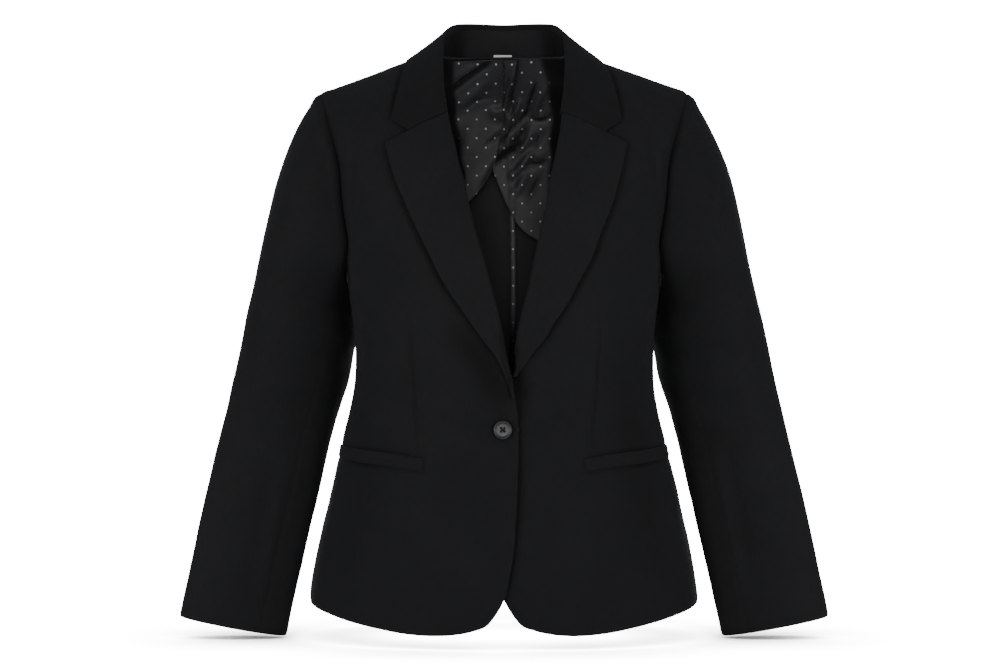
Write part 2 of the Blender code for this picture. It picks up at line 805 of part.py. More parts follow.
def build_body():
    """Fronts, sides, backs and sleeves, with seams matched; returns their walls without the gaps."""
    grids, normals, walls = {}, {}, {}
    for side in (-1, 1):
        for label, grid in body_panels(side).items():
            name = f"{label}_{side_name(side)}"
            grids[name], normals[name] = grid, normals_of(grid, torso_core(grid))
            normals[name][-1, 0] = normals[name][-1, 1]  # the neck point turns with the shoulder seam
        for label, (grid, normal) in sleeve_parts(side).items():
            name = f"sleeve_{label}_{side_name(side)}"
            grids[name], normals[name] = grid, normal
    share_normals(grids.values(), normals.values())
    for name, grid in grids.items():
        if name.startswith("sleeve"):
            outer = trimmed(grid, ("inner", "outer"))
            outer[0, :, 0] += SEAM_GAP * np.sign(outer[0, :, 0])
        else:
            outer = trimmed(grid, ("inner", "outer", "top"))
        add_piece(name, *wall(outer, outer - CLOTH * normals[name]), "suiting")
        walls[name] = wall(grid, grid - CLOTH * normals[name])
    return walls


# ---- pieces that lie on the body -----------------------------------------------------------------
def lapel_grid(side):
    """From the roll line out to the lapel's edge, its break at the first row and its gorge at the last."""
    edge = LAPEL_RIGHT if side < 0 else LAPEL_LEFT
    toe = edge[0][0]
    roll = roll_line(side)
    heights = [toe] + [r[0] for r in roll if r[0] > toe + 3]
    inner = along([(front_edge(side, h), h) for h in heights], LAPEL_ROWS)
    outer = along([(r[1], r[0]) for r in edge], LAPEL_ROWS)
    share = np.linspace(0, 1, COLUMNS["lapel"] + 1)[None, :, None]
    flat = inner[:, None] + (outer - inner)[:, None] * share
    swell = LAPEL["rise"] * np.sin(np.pi * np.clip(share[..., 0] / 0.85, 0, 1)) ** 2
    width = np.linalg.norm(outer - inner, axis=1)[:, None]
    rise = LAY_GAP + LAPEL["thick"] + swell * ease(width, 8, 45)
    return mirrored(moved_out(flat[..., 0], flat[..., 1], "front", rise, side), side)


def build_lapels():
    for side in (-1, 1):
        outer = trimmed(lapel_grid(side), ("top",))
        normal = normals_of(outer, torso_core(outer))
        add_piece(f"lapel_{side_name(side)}", *wall(outer, outer - LAPEL["thick"] * normal), "suiting")


def both_ways(half):
    """A half that runs from the front to the centre back, carried round to the other front."""
    right = half * [-1, 1, 1]
    return np.concatenate([right, half[::-1][1:]])


def neck_seam():
    """The neck seam from the right gorge to the left one, matched to the collar's fold."""
    front = neck_angles(FRONT_NECK, ROWS["neck"])
    back = neck_angles(BACK_NECK, ROWS["neck"])[::-1]
    half = [body_at(x, h, "front") for x, h in front] + [body_at(x, h, "back") for x, h in back[1:]]
    return both_ways(np.array(half))


def collar_frames():
    """Fold points, with the directions squarely up the stand and out from the neck at each."""
    fold = both_ways(np.array(FOLD, float))
    seam = neck_seam()
    run = unit(np.gradient(fold, axis=0))
    out = unit(np.cross(fold - seam, run))
    out *= np.sign(np.sum(out * (fold * [1, 1, 0]), axis=1))[:, None]
    up = unit(np.cross(run, out))
    up *= np.sign(np.sum(up * (fold - seam), axis=1))[:, None]
    return fold, seam, up, out


def stand_grid():
    """The side of the stand that faces the neck, from the neck seam up to the fold."""
    fold, seam, up, out = (part[1:-1] for part in collar_frames())
    base = seam + unit(fold - seam) * STAND["above_seam"]
    top = fold - up * STAND["below_fold"]
    share = np.linspace(0, 1, STAND["rows"] + 1)[:, None, None]
    return base + (top - base) * share, np.broadcast_to(out, (STAND["rows"] + 1, *out.shape))


def fall_edge():
    """The fall's outer edge from one collar point to the other, and its swell at each place."""
    half = []
    for across, height, face, _ in FALL_EDGE:
        half.append(moved_out(across, height, face, LAY_GAP + FALL["thick"], -1))
    swell = np.array([row[FALL_EDGE_COLUMNS.index("swell")] for row in FALL_EDGE])
    return both_ways(np.array(half)), np.concatenate([swell, swell[::-1][1:]])[:, None]


def fall_grid():
    """The fall, from its turn over the stand to its outer edge, one row for each fold point."""
    fold, _, up, out = collar_frames()
    end, swell = fall_edge()
    start = fold + out * FALL["turn"] - up * 0.3
    bulge = unit(np.cross(end - start, np.gradient(fold, axis=0)))
    bulge *= np.sign(np.sum(bulge * (out + up), axis=1))[:, None]
    middle = (start + end) / 2 + bulge * swell
    grid = [fold]
    for t in np.linspace(0, 1, COLUMNS["fall"]):
        grid.append((1 - t) ** 2 * start + 2 * t * (1 - t) * middle + t * t * end)
    grid = np.array(grid).transpose(1, 0, 2)
    for row, side in ((0, -1), (-1, 1)):
        grid[row, 1:-1] = gorge_places(side, COLUMNS["fall"] - 1)
    return grid


def gorge_places(side, count):
    """Places along the gorge, from the roll to the notch, just above the lapel's top edge."""
    roll, tip = roll_line(side)[-1], (LAPEL_RIGHT if side < 0 else LAPEL_LEFT)[-1]
    across = np.linspace(roll[1] + FALL["turn"], NOTCH[side_name(side)], count)
    slope = (tip[0] - roll[0]) / (tip[1] - roll[1])
    height = roll[0] + slope * (across - roll[1]) + 3 * SEAM_GAP
    rise = LAY_GAP + FALL["thick"] + 1.2 * np.sin(np.linspace(0, np.pi, count))
    return mirrored(moved_out(across, height, "front", rise, side), side)


def halved(grid):
    """A grid with the middles of its edges and cells put in."""
    for axis in (0, 1):
        count = grid.shape[axis]
        at = np.arange(2 * count - 1) / 2
        low = np.take(grid, np.floor(at).astype(int), axis)
        high = np.take(grid, np.ceil(at).astype(int), axis)
        grid = (low + high) / 2
    return grid


def raised(outer, inner, normal, faces, gap, reach=12.0):
    """Moves a wall out along its normals until it clears the faces under it."""
    for _ in range(2):
        under, facing = halved(inner), unit(halved(normal))
        short = np.zeros(under.shape[:2])
        for place in np.ndindex(short.shape):
            hit = faces.ray_cast(under[place] + facing[place] * reach, -facing[place], 2 * reach)
            if hit[3] is not None:
                short[place] = max(0.0, gap + reach - hit[3])
        rim, (rows, columns) = np.pad(short, 1), short.shape
        near = [rim[r : r + rows : 2, c : c + columns : 2] for r in range(3) for c in range(3)]
        lift = normal * np.max(near, axis=0)[..., None]
        outer, inner = outer + lift, inner + lift
    return outer, inner


def build_collar(walls):
    face, out = stand_grid()
    stand = wall(face + out * STAND["thick"], face)
    add_piece("collar_stand", *stand, "suiting")
    outer = fall_grid()
    core = outer * [0.7, 0.7, 1] - [0, 0, 45]
    normal = normals_of(outer, core)
    for row in (0, -1):  # over the gorge the fall lies square to the front, as the lapel does
        across, height = np.abs(outer[row, :, 0]), outer[row, :, 2]
        normal[row] = mirrored(body_normal(angle_of(across, height), height), np.sign(outer[row, 0, 0]))
    under = [walls[f"{label}_{side_name(side)}"] for side in (-1, 1) for label in ("front", "back")]
    faces = search_tree([*under, stand])
    outer, inner = raised(outer, outer - FALL["thick"] * normal, normal, faces, 2 * SEAM_GAP)
    add_piece("collar_fall", *wall(outer, inner), "suiting")


def build_welts():
    for side in (-1, 1):
        start = angle_of(WELT_TOP[0][0], WELT_TOP[0][1])
        angle = np.linspace(start, WELT["end_angle"], WELT["columns"] + 1)
        across = across_of(angle, WELT_TOP[0][1])
        top = read(WELT_TOP, WELT_COLUMNS, "height", across, key="across")
        drop = np.linspace(0, WELT["height"], WELT["rows"] + 1)[:, None]
        height = top[None] - drop
        angle = np.broadcast_to(angle, height.shape)
        inner = body_place(angle, height) + body_normal(angle, height) * LAY_GAP
        outer = inner + body_normal(angle, height) * WELT["thick"]
        add_piece(
            f"pocket_welt_{side_name(side)}", *wall(mirrored(outer, side), mirrored(inner, side)), "suiting"
        )


# ---- lining, tape and label ----------------------------------------------------------------------
def inside_back(faces, across, height, distance, side=1, reach=25.0):
    """Places on the backs' inner faces, moved in by a distance."""
    angle = 180 - angle_of(across, height)
    normal = mirrored(body_normal(angle, height), side)
    places = mirrored(body_place(angle, height), side) - normal * CLOTH
    for place in np.ndindex(across.shape):
        hit = faces.ray_cast(places[place] - normal[place] * reach, normal[place], 2 * reach)
        if hit[0] is not None:
            places[place] = hit[0]
    return places - normal * np.asarray(distance, float)[..., None]


def build_linings(faces):
    """The halves of the back lining, from neck and shoulder seam down to their free edges."""
    rows, columns = LINING_GRID["rows"], LINING_GRID["columns"]
    down = np.linspace(0, 1, rows + 1)[:, None, None]
    for side, edge in ((-1, LINING_RIGHT), (1, LINING_LEFT)):
        name = side_name(side)
        top, foot = along(LINING_TOP, columns), along(edge, columns)
        flat = top[None] + (foot - top)[None] * down
        seam, hang = LINING_HANG[name]
        inward = ease(np.linspace(1, 0, columns + 1), 0, 0.35)[None]
        clear = seam + (hang - seam) * np.sin(down[..., 0] * np.pi / 2) * inward
        near = inside_back(faces, flat[..., 0], flat[..., 1], clear + LINING, side)
        far = inside_back(faces, flat[..., 0], flat[..., 1], clear, side)
        add_piece(f"back_lining_{name}", *wall(near, far), "lining")


def build_binding(faces):
    """The tape over the centre-back seam."""
    height = np.linspace(BINDING["top"], BINDING["bottom"], BINDING["rows"] + 1)[:, None]
    centre = read(CENTRE_BACK, CENTRE_BACK_COLUMNS, "across", height)
    across = centre + np.array([[-0.5, 0, 0.5]]) * BINDING["width"]
    height = np.broadcast_to(height, across.shape)
    clear = np.full(across.shape, LAY_GAP)
    near = inside_back(faces, across, height, clear + BINDING["thick"])
    add_piece("seam_binding", *wall(near, inside_back(faces, across, height, clear)), "lining")


def build_label():
    """A blank label on the stand, at the centre back, bent with the stand."""
    face = stand_grid()[0]
    middle = face.shape[1] // 2
    columns = []
    for across in (-0.5, 0.0, 0.5):
        x = LABEL["across"] + across * LABEL["width"]
        x = 0.0 if across == 0 else x
        side = middle + (1 if x > 0 else -1)
        share = abs(x) / abs(face[0, side, 0])
        low = face[0, middle] + (face[0, side] - face[0, middle]) * share
        high = face[-1, middle] + (face[-1, side] - face[-1, middle]) * share
        run = (high - low) / np.linalg.norm(high - low)
        columns.append([low + run * LABEL["rise"], low + run * (LABEL["rise"] + LABEL["height"])])
    back = np.array(columns).transpose(1, 0, 2) - [0, LAY_GAP, 0]
    add_piece("neck_label", *wall(back - [0, LABEL["thick"], 0], back), "label")


# ---- button --------------------------------------------------------------------------------------
def build_button():
    """A round button with a raised rim and four holes, on the right front at the break."""
    thick, radius, rim, bowl = (BUTTON[k] for k in ("thick", "radius", "rim", "bowl"))
    profile = (
        (radius * 0.72, 0.0),
        (radius, thick * 0.38),
        (radius, thick * 0.62),
        (radius - rim * 0.35, thick),
        (radius - rim, thick),
        (radius - rim * 1.5, thick - bowl),
    )
    seat = moved_out(-BUTTON["across"], BUTTON["height"], "front", BUTTON["shank"], -1) * [-1, 1, 1]
    mesh = bmesh.new()
    rings, turns = [], 24
    for r, out in profile:
        rings.append(
            [
                mesh.verts.new((r * math.cos(a), -out, r * math.sin(a)))
                for a in (math.tau * k / turns for k in range(turns))
            ]
        )
    for low, high in zip(rings, rings[1:]):
        for k in range(turns):
            mesh.faces.new((low[k], low[(k + 1) % turns], high[(k + 1) % turns], high[k]))
    mesh.faces.new(rings[0])
    mesh.faces.new(rings[-1])
    bmesh.ops.recalc_face_normals(mesh, faces=mesh.faces)
    for vertex in mesh.verts:
        vertex.co = (vertex.co + mathutils.Vector(seat)) * MM
    data = bpy.data.meshes.new("button")
    mesh.to_mesh(data)
    mesh.free()
    data.materials.append(material_for("button", "button"))
    piece = bpy.data.objects.new("button", data)
    bpy.context.scene.collection.objects.link(piece)
    for k in range(BUTTON_HOLES["count"]):
        turn = math.tau * (k + 0.5) / BUTTON_HOLES["count"]
        place = (
            (seat[0] + BUTTON_HOLES["pitch"] * math.cos(turn)) * MM,
            (seat[1] - thick / 2) * MM,
            (seat[2] + BUTTON_HOLES["pitch"] * math.sin(turn)) * MM,
        )
        cut_hole(piece, k, place, BUTTON_HOLES["radius"] * MM, thick * 3 * MM)


def cut_hole(piece, index, place, radius, depth):
    """Cuts a round hole along Y with a hidden cutter."""
    bpy.ops.mesh.primitive_cylinder_add(
        vertices=8, radius=radius, depth=depth, location=place, rotation=(math.pi / 2, 0, 0)
    )
    cutter = bpy.context.active_object
    cutter.name = f"hole_cutter_{index}"
    cutter.hide_render = True
    cutter.display_type = "WIRE"
    cut = piece.modifiers.new(f"hole_{index}", "BOOLEAN")
    cut.operation = "DIFFERENCE"
    cut.object = cutter


def build_all():
    for old in list(bpy.data.objects):
        bpy.data.objects.remove(old, do_unlink=True)
    walls = build_body()
    build_lapels()
    build_collar(walls)
    build_welts()
    build_button()
    faces = search_tree([walls["back_right"], walls["back_left"]])
    build_linings(faces)
    build_binding(faces)
    build_label()


build_all()
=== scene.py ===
"""The single breasted blazer's finished cloth, button, lining and studio, dressed over its frame.

Sizes are in millimetres and become metres where a mesh is made. X runs to the wearer's left, -Y is the
front and +Z is up. A place on the body is an angle and a height: 0 degrees is the centre front, 90 the
side and 180 the centre back. Each sewn piece is a fine grid of such places with its folds laid on it.
"""

import math

import bpy
import numpy as np
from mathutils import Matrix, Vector
from mathutils.bvhtree import BVHTree


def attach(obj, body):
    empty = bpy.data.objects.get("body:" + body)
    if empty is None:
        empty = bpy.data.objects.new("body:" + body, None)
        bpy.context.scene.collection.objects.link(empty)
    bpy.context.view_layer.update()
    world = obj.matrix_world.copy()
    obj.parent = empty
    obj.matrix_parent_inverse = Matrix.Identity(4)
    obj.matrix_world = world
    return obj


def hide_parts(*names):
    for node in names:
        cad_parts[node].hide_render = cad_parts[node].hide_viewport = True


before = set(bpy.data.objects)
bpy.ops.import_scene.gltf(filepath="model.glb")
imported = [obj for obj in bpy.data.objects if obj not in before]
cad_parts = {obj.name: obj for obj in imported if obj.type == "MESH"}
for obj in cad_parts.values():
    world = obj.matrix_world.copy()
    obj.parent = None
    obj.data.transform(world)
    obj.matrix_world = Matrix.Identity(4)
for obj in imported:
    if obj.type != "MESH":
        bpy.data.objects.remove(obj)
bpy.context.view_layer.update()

MM = 0.001
FINE = 9  # grid cells of the finished cloth to one of the frame's
SIDES = (-1, 1)  # the wearer's right and left; a piece's places are worked out on its own side
AHEAD = (0.0, 1.0, 0.0)  # the way someone facing the blazer looks
ALL_EDGES = ("bottom", "top", "inner", "outer")

# ---- the cut and the form ------------------------------------------------------------------------
CLOTH = 2.0  # thickness
LINING = 0.8
RIM_BULGE = 0.35  # how far a wall's rim stands out, as a share of its thickness
SEAM_GAP = 0.12
ROUNDNESS = 2.3  # of the body's sections: 2 is an ellipse, more is squarer
SHOULDER_TOP = 41.8  # where the two shoulder lines would meet in the middle
SHOULDER_FALL = 0.364
FRONT_ROLL = (112.0, 0.23)  # how far down the shoulder rolls over, and how much less for each mm across
BACK_ROLL = (80.0, 0.10)
LAP_RIGHT = 1.7  # how far the right front stands out where it laps over
LAP_LEFT = 2.7  # how far the left one lies back under it
LAP_FADE = (26.0, 82.0)
LAP_TOP = (-300.0, -225.0)
UNDERARM = -221.0
HEM_LEVEL = -605.0
MIDDLE_LEVEL = -400.0
FOLDED = 0.45  # below this likeness of two normals a seam isn't blended
ANGLE_WEIGHT = 3.0  # what a degree counts for beside a millimetre along the armhole

BODY_COLUMNS = ("height", "half_width", "front_depth", "back_depth")
BODY = (
    (60, 240, 44, 82),
    (15, 240, 58, 86),
    (0, 240, 62, 88),
    (-20, 240, 68, 93),
    (-40, 238, 76, 98),
    (-65, 225, 88, 104),
    (-85, 213, 97, 108),
    (-115, 200, 110, 113),
    (-150, 192, 121, 115),
    (-176, 185.5, 126, 114),
    (-207, 178, 128, 112),
    (-230, 176.8, 128, 109),
    (-260, 173.5, 126, 104),
    (-300, 168.6, 119, 99),
    (-330, 166.9, 114.5, 97),
    (-355, 167.7, 112, 96.5),
    (-389, 172.8, 112, 98.5),
    (-423, 181.2, 114, 103),
    (-457, 189, 117, 109),
    (-490, 197.4, 120, 113),
    (-524, 205.3, 123.5, 118),
    (-558, 212, 127, 121.5),
    (-592, 216.6, 130, 124),
    (-630, 218, 131.5, 125.5),
)
ARMHOLE = (  # height, angle
    (-47, 56.5), (-65, 58.3), (-85, 61.3), (-115, 64.6), (-150, 68.3), (-176, 71.0), (-207, 75.5),
    (-221, 80.0), (-227, 90.0), (-221, 101.0), (-207, 106.5), (-190, 108.5), (-176, 109.3),
    (-150, 110.9), (-115, 112.2), (-85, 116.1), (-65, 119.7), (-47, 122.5),
)
SHOULDER_POINT = -33.0  # the height at which the shoulder seam ends
SIDE_SEAM_COLUMNS = ("height", "front", "back")
SIDE_SEAMS = (
    (-190, 74.0, 108.5),
    (-221, 78.5, 110.0),
    (-260, 86.0, 113.0),
    (-310, 92.5, 117.0),
    (-360, 95.0, 119.0),
    (-450, 96.0, 119.0),
    (-630, 96.0, 117.0),
)
CENTRE_BACK_COLUMNS = ("height", "across")
CENTRE_BACK = ((30, 0), (0, 1), (-60, 4), (-120, 8), (-170, 10), (-320, 10), (-450, 6), (-630, 2))
HEM_COLUMNS = ("across", "front", "back")
HEM = (
    (0, -590.4, -600),
    (6.4, -600.6, -600),
    (16.6, -614, -600),
    (33, -621.5, -600.5),
    (54, -625.8, -601),
    (79, -627.2, -601.5),
    (104, -626, -602),
    (137, -621.3, -602),
    (171, -614.8, -602),
    (194, -609.4, -602),
    (210, -605.2, -602),
    (218, -602, -602),
)
EDGE = (  # the fronts' rounded foot: height, across
    (-598.0, 4.6), (-590.4, 0.3), (-582, -4.5), (-573, -8.6), (-560, -12), (-545, -14.0), (-520, -14.4),
)
EDGE_SWING_COLUMNS = ("height", "swing")
EDGE_SWING = (  # how far the right front's edge swings back from the lap
    (-640, 0), (-594, 0), (-588, 0.8), (-580, 3.0), (-567, 5.2), (-546, 5.0), (-524, 3.0), (-503, 2.5),
    (-440, 3.2), (-417, 2.8), (-401, 2.0), (-385, 0.5), (-372, 0), (40, 0),
)
ROLL_RIGHT = (  # where the front turns back into the lapel: height, across
    (-386, -14.4), (-374.7, -12.0), (-353.8, -8.8), (-335.7, -3.9), (-308.6, 2.1), (-279.2, 8.4),
    (-256.6, 14.6), (-221, 24.0), (-203, 29.5), (-172, 37.5), (-140, 44), (-118, 50), (-96, 54.5),
    (-80, 58.5), (-62, 62),
)
ROLL_LEFT = (
    (-380, -14.4), (-366, -4.0), (-353, 7.5), (-340, 11.6), (-316.8, 11.6), (-308.6, 12.9),
    (-286.7, 17.4), (-256.6, 25.0), (-221, 32.5), (-203, 36.5), (-166, 44.5), (-140, 48.5),
    (-118, 53.5), (-96, 58), (-80, 61), (-62, 63),
)
# The neck seam: height, across.
FRONT_NECK = ((-62, 62.0), (-48, 64.3), (-30, 67.0), (-14, 69.6), (2, 73.0), (14.5, 75.0))
BACK_NECK = ((16.0, 0.0), (15.3, 19), (14.3, 37), (13.5, 54), (13.6, 67), (14.5, 75.0))
LAPEL_RIGHT = (  # the lapel's outer edge: height, across
    (-372, -10.2), (-363.5, -6.6), (-348.5, -1.4), (-329, 8.2), (-306.3, 25.1), (-282, 41.5),
    (-264, 54), (-243, 67), (-216, 80), (-185, 95), (-160, 106), (-131, 118), (-95, 128),
)
LAPEL_LEFT = (
    (-349, 13.0), (-346.2, 15.0), (-330.8, 26.5), (-320, 34), (-308.6, 43.8), (-293.5, 52), (-276, 64),
    (-244, 81), (-222, 93), (-194, 103), (-161, 116), (-128, 125), (-95, 133),
)
NOTCH = {"right": 103.0, "left": 109.0}  # how far out the collar meets the lapel
TOE = {"right": -372.0, "left": -352.0}  # where the tucked roll starts
LAY_GAP = 0.5  # between two pieces that lie on one another
LAPEL = {"thick": 2.2, "rise": 2.6, "stand_off": 1.2, "wrap": 9.0, "tuck": 2.2}
WELT = {"thick": 1.7, "height": 12.8, "end_angle": 86.5, "columns": 9, "rows": 2, "gap": 0.15, "crown": 0.5}
WELT_ROLLS = {"top": (0.6, 1.6), "sewn": (0.9, 1.4), "inner": (1.4, 3.2)}  # depth, width
FOLD = (  # where the fall turns over the stand: x, y, z
    (62.5, -86.3, -61.3),
    (65.5, -75.5, -44.0),
    (66.6, -58.5, -22.0),
    (67.3, -38.0, -2.0),
    (67.0, -16.0, 16.5),
    (65.3, 5.0, 33.3),
    (60.5, 25.0, 43.8),
    (52.5, 45.0, 50.3),
    (40.0, 60.0, 53.2),
    (21.5, 68.5, 53.8),
    (0.0, 71.0, 53.2),
)
FALL_EDGE = (  # across on the right and on the left, height, face, swell
    (122.5, 128.0, -70.5, "front", 0.5),
    (119.5, 125.5, -56.0, "front", 1.0),
    (116.5, 122.5, -40.0, "front", 2.0),
    (113.5, 118.8, -22.0, "front", 2.5),
    (109.8, 113.0, -8.0, "front", 1.6),
    (107.5, 107.5, 2.66, "front", 0.4),
    (101.0, 101.0, 0.0, "back", 1.0),
    (88.0, 88.0, -1.5, "back", 4.0),
    (62.0, 62.0, 1.0, "back", 6.0),
    (32.0, 32.0, 5.0, "back", 7.0),
    (0.0, 0.0, 6.5, "back", 7.0),
)
STAND = {"thick": 1.5, "rows": 2, "above_seam": -2.4, "below_fold": 2.2}
STAND_PAINTED_SHADE = {"ends": 8.0, "edges": 6.0, "painted_light_middle": 0.17}  # painted shade on its ends and edges; the last: how much lighter its middle is painted, as painted light
FALL = {"thick": 1.8, "turn": 3.6, "uneven": 0.45}
GORGE = {"above": 0.5, "arch": 1.6}  # how the fall's end lies over the lapel
FALL_TURN = (  # over the stand's fold, from the inside: up and out from it
    (-7.0, -0.2), (-4.6, -0.5), (-2.6, -0.7), (-0.9, -0.5), (0.5, 0.7), (0.9, 2.0),
)
SLEEVE_COLUMNS = ("height", "outer", "inner")
SLEEVE = (  # how far across the sleeve's two sides are
    (-227, 276.5, 176.5),
    (-254, 282, 171.6),
    (-288, 290, 168.2),
    (-308, 294, 167.6),
    (-322, 297, 171.0),
    (-355, 304.5, 176.8),
    (-389, 312, 187),
    (-423, 320, 196),
    (-457, 328, 203.4),
    (-490, 335.8, 210.3),
    (-524, 343.5, 218),
    (-558, 350.5, 225.4),
    (-592, 357, 232.8),
    (-641, 367, 243.2),
)
SLEEVE_RINGS_COLUMNS = ("height", "half_depth", "shift", "sweep")
SLEEVE_RINGS = (
    (-264, 52, -3, 42),
    (-300, 50.5, -3, 46),
    (-340, 47, -2.5, 42),
    (-385, 42.5, -2.5, 27),
    (-430, 38.5, -4, 14),
    (-480, 34.5, -8, 5),
    (-530, 31, -12, 1),
    (-580, 28.5, -16, 0),
    (-628.5, 27, -20, 0),
)
SLEEVE_SLANT = 11.0  # how much higher a ring is on its outside than in its middle
SLEEVE_PAINTED_LIGHT = 0.065  # how much lighter the outside of the lower sleeve is painted, as painted light
CAP_RINGS = 6
CAP_START = 0.34  # how stiffly the sleeve leaves the armhole, as a share of the way to its first ring
CAP_END = 0.36
# Which way the sleeve leaves the armhole.
CAP_LEAVE = {"out": 0.25, "out_on_top": 0.55, "forward": 0.45, "down": 1.0, "up_on_top": 0.1}
CROWN = {  # heights of the sleeve head's roll and gathers, and where they lie from the armhole
    "roll": 2.6, "roll_at": 9.0, "roll_width": 8.0,
    "gather": 0.35, "gather_at": 13.0, "gather_width": 9.0, "gathers": 11,
}
CUFF_FRONT_SEAM = 123.0
CUFF_BACK_SEAM = 250.0
WELT_COLUMNS = ("across", "height")
WELT_TOP = ((85, -439.3), (110, -435.6), (131, -433.2), (159, -430.6), (172, -429), (186, -427.4))
BUTTON = {"across": -1.3, "height": -406.9, "shank": 1.1, "radius": 10.0, "thick": 3.2, "dish": 0.64,
          "hole": 1.35, "hole_ring": 2.5}
BUTTON_PROFILE = (  # from the back round the rim and into the dish, as shares of its radius and its thickness
    (0.62, 0.02), (0.80, 0.06), (0.92, 0.18), (0.985, 0.38), (1.0, 0.56), (0.985, 0.76), (0.945, 0.93),
    (0.90, 1.0), (0.855, 0.985), (0.82, 0.90), (0.79, 0.78), (0.75, 0.70), (0.66, 0.665), (0.5, 0.65),
    (0.3, 0.64), (0.1, 0.64),
)
LINING_RIGHT = (  # the lining's lower edge: across, height
    (-14.5, -2), (-2, -41), (5, -75), (12.9, -109), (23, -127), (36, -143), (58, -162), (92, -184),
    (128, -203), (155, -216),
)
LINING_LEFT = (
    (-17.5, -2), (-18, -40), (-15, -80), (-12.5, -113), (-5, -132), (7, -160), (20, -180), (46, -197),
    (92, -212), (148, -222),
)
LINING_TOP = (
    (-16.5, 15.3), (0, 15.8), (37, 14.0), (66, 11.6), (76, 10.5), (110, -2), (155, -19.0), (197, -36.5),
)
LINING_LIT_LEVELS = (-12, 40, 110)  # depths below the neck
LINING_SHADE_FROM = {"right": (61.0, 57.0, 47.0), "left": (45.0, 55.5, 54.0)}  # how far out it is lit there; past that it is painted in deep shade
LINING_HANG = {"right": (3.4, 7.0), "left": (0.4, 2.4)}  # off the back at its top seam and at its edge
BINDING = {"width": 6.0, "thick": 0.8, "top": -104.0, "bottom": -596.0, "arch": 0.5, "columns": 7}
BINDING_PAINTED_SHADE = {"most": 0.95, "from": 265, "to": 318}  # painted shade on its lower part, fading in between these depths below the neck
LABEL = {"width": 20.4, "height": 3.6, "thick": 0.6, "rise": 0.2, "across": -1.5,
         "off_stand": 0.4, "curl": 0.35, "columns": 31, "rows": 9}

ROWS = {
    "lower": 12 * FINE, "roll": 7 * FINE, "neck": 5 * FINE, "centre_back": 6 * FINE, "under_arm": 4 * FINE,
    "lining": 7 * FINE, "binding": 18 * FINE,
}
COLUMNS = {"front": 10 * FINE, "back": 10 * FINE, "lapel": 4 * FINE, "fall": 5 * FINE, "lining": 9 * FINE}
FRONT_CROWDING = 1.35  # above 1 the front's columns lie closer near its edge
LAPEL_ROWS = 12 * FINE
SLEEVE_LOWER_RINGS = 9 * FINE

# ---- folds laid on the cloth ---------------------------------------------------------------------
# Each fold: width, height (below 0 a trough), then the places it runs through.
FOLD_GAIN = 1.4  # how much fuller the folds of the body and the sleeves are than these heights
LINING_FOLD_GAIN = {"width": 0.85, "ridge": 1.7, "trough": 1.2}
FRONT_FOLDS = {
    "both": (
        (10.0, -1.9, ((160, -58), (163, -90), (164, -125), (164, -168))),
        (16.0, 0.9, ((146, -64), (147, -100), (148, -140), (150, -180))),
        (15.0, -1.2, ((176, -236), (160, -262), (138, -286))),
        (13.0, -0.9, ((172, -268), (152, -300), (128, -322))),
        (14.0, -1.1, ((166, -338), (146, -346), (124, -350))),
        (20.0, 1.0, ((160, -378), (140, -376), (118, -374))),
        (26.0, -2.0, ((112, -470), (120, -540), (126, -618))),
        (24.0, 1.6, ((150, -470), (160, -540), (168, -612))),
        (22.0, -1.3, ((60, -500), (58, -560), (56, -622))),
        (9.0, 0.8, ((118, -590), (112, -600), (104, -612))),
    ),
    "right": (
        (10.0, -1.2, ((14, -398), (34, -392), (66, -384))),
        (11.0, -1.0, ((14, -418), (36, -428), (64, -446))),
        (12.0, -1.4, ((6, -346), (12, -360), (12, -382))),
        (30.0, 0.9, ((70, -250), (84, -300), (86, -350))),
    ),
    "left": (
        (11.0, -1.0, ((30, -404), (52, -398), (84, -392))),
        (12.0, -0.9, ((28, -424), (52, -436), (80, -450))),
        (12.0, -1.2, ((24, -352), (22, -372), (20, -392))),
        (28.0, 0.9, ((86, -270), (92, -310), (94, -352))),
        (4.5, -2.0, ((16.5, -372), (17.5, -401), (16.8, -440), (15.5, -500), (13, -530), (10, -548),
                     (3, -588))),
    ),
}
BACK_FOLDS = (
    (11.0, -1.8, ((160, -58), (162, -95), (164, -150))),
    (18.0, 1.0, ((142, -70), (145, -110), (148, -160))),
    (20.0, -1.2, ((150, -190), (120, -214), (84, -226))),
    (16.0, -1.0, ((158, -300), (126, -316), (92, -322))),
    (15.0, -1.1, ((162, -340), (130, -350), (96, -352))),
    (26.0, -1.8, ((110, -450), (118, -530), (124, -600))),
    (24.0, -1.5, ((52, -440), (58, -520), (62, -600))),
    (24.0, 1.3, ((84, -450), (90, -530), (94, -600))),
)
SLEEVE_FOLDS = (  # width, height, then places as tube angle and height
    (13.0, -1.8, ((150, -250), (128, -268), (104, -282))),
    (12.0, -1.2, ((158, -292), (134, -312), (112, -322))),
    (15.0, -1.5, ((150, -352), (124, -366), (96, -372), (70, -370))),
    (13.0, 1.1, ((146, -374), (120, -388), (92, -394))),
    (15.0, -1.4, ((154, -398), (128, -410), (100, -414))),
    (11.0, -1.5, ((98, -420), (101, -470), (102, -520), (103, -580))),
    (8.0, 1.0, ((114, -450), (116, -510), (118, -570), (118, -612))),
    (18.0, 1.1, ((58, -300), (62, -380), (64, -470), (66, -560))),
    (15.0, -1.0, ((34, -330), (36, -400), (40, -470))),
    (14.0, -1.4, ((214, -342), (236, -356), (262, -362))),
    (14.0, -1.1, ((218, -392), (244, -400), (270, -398))),
    (16.0, -1.2, ((296, -300), (300, -380), (300, -460))),
)
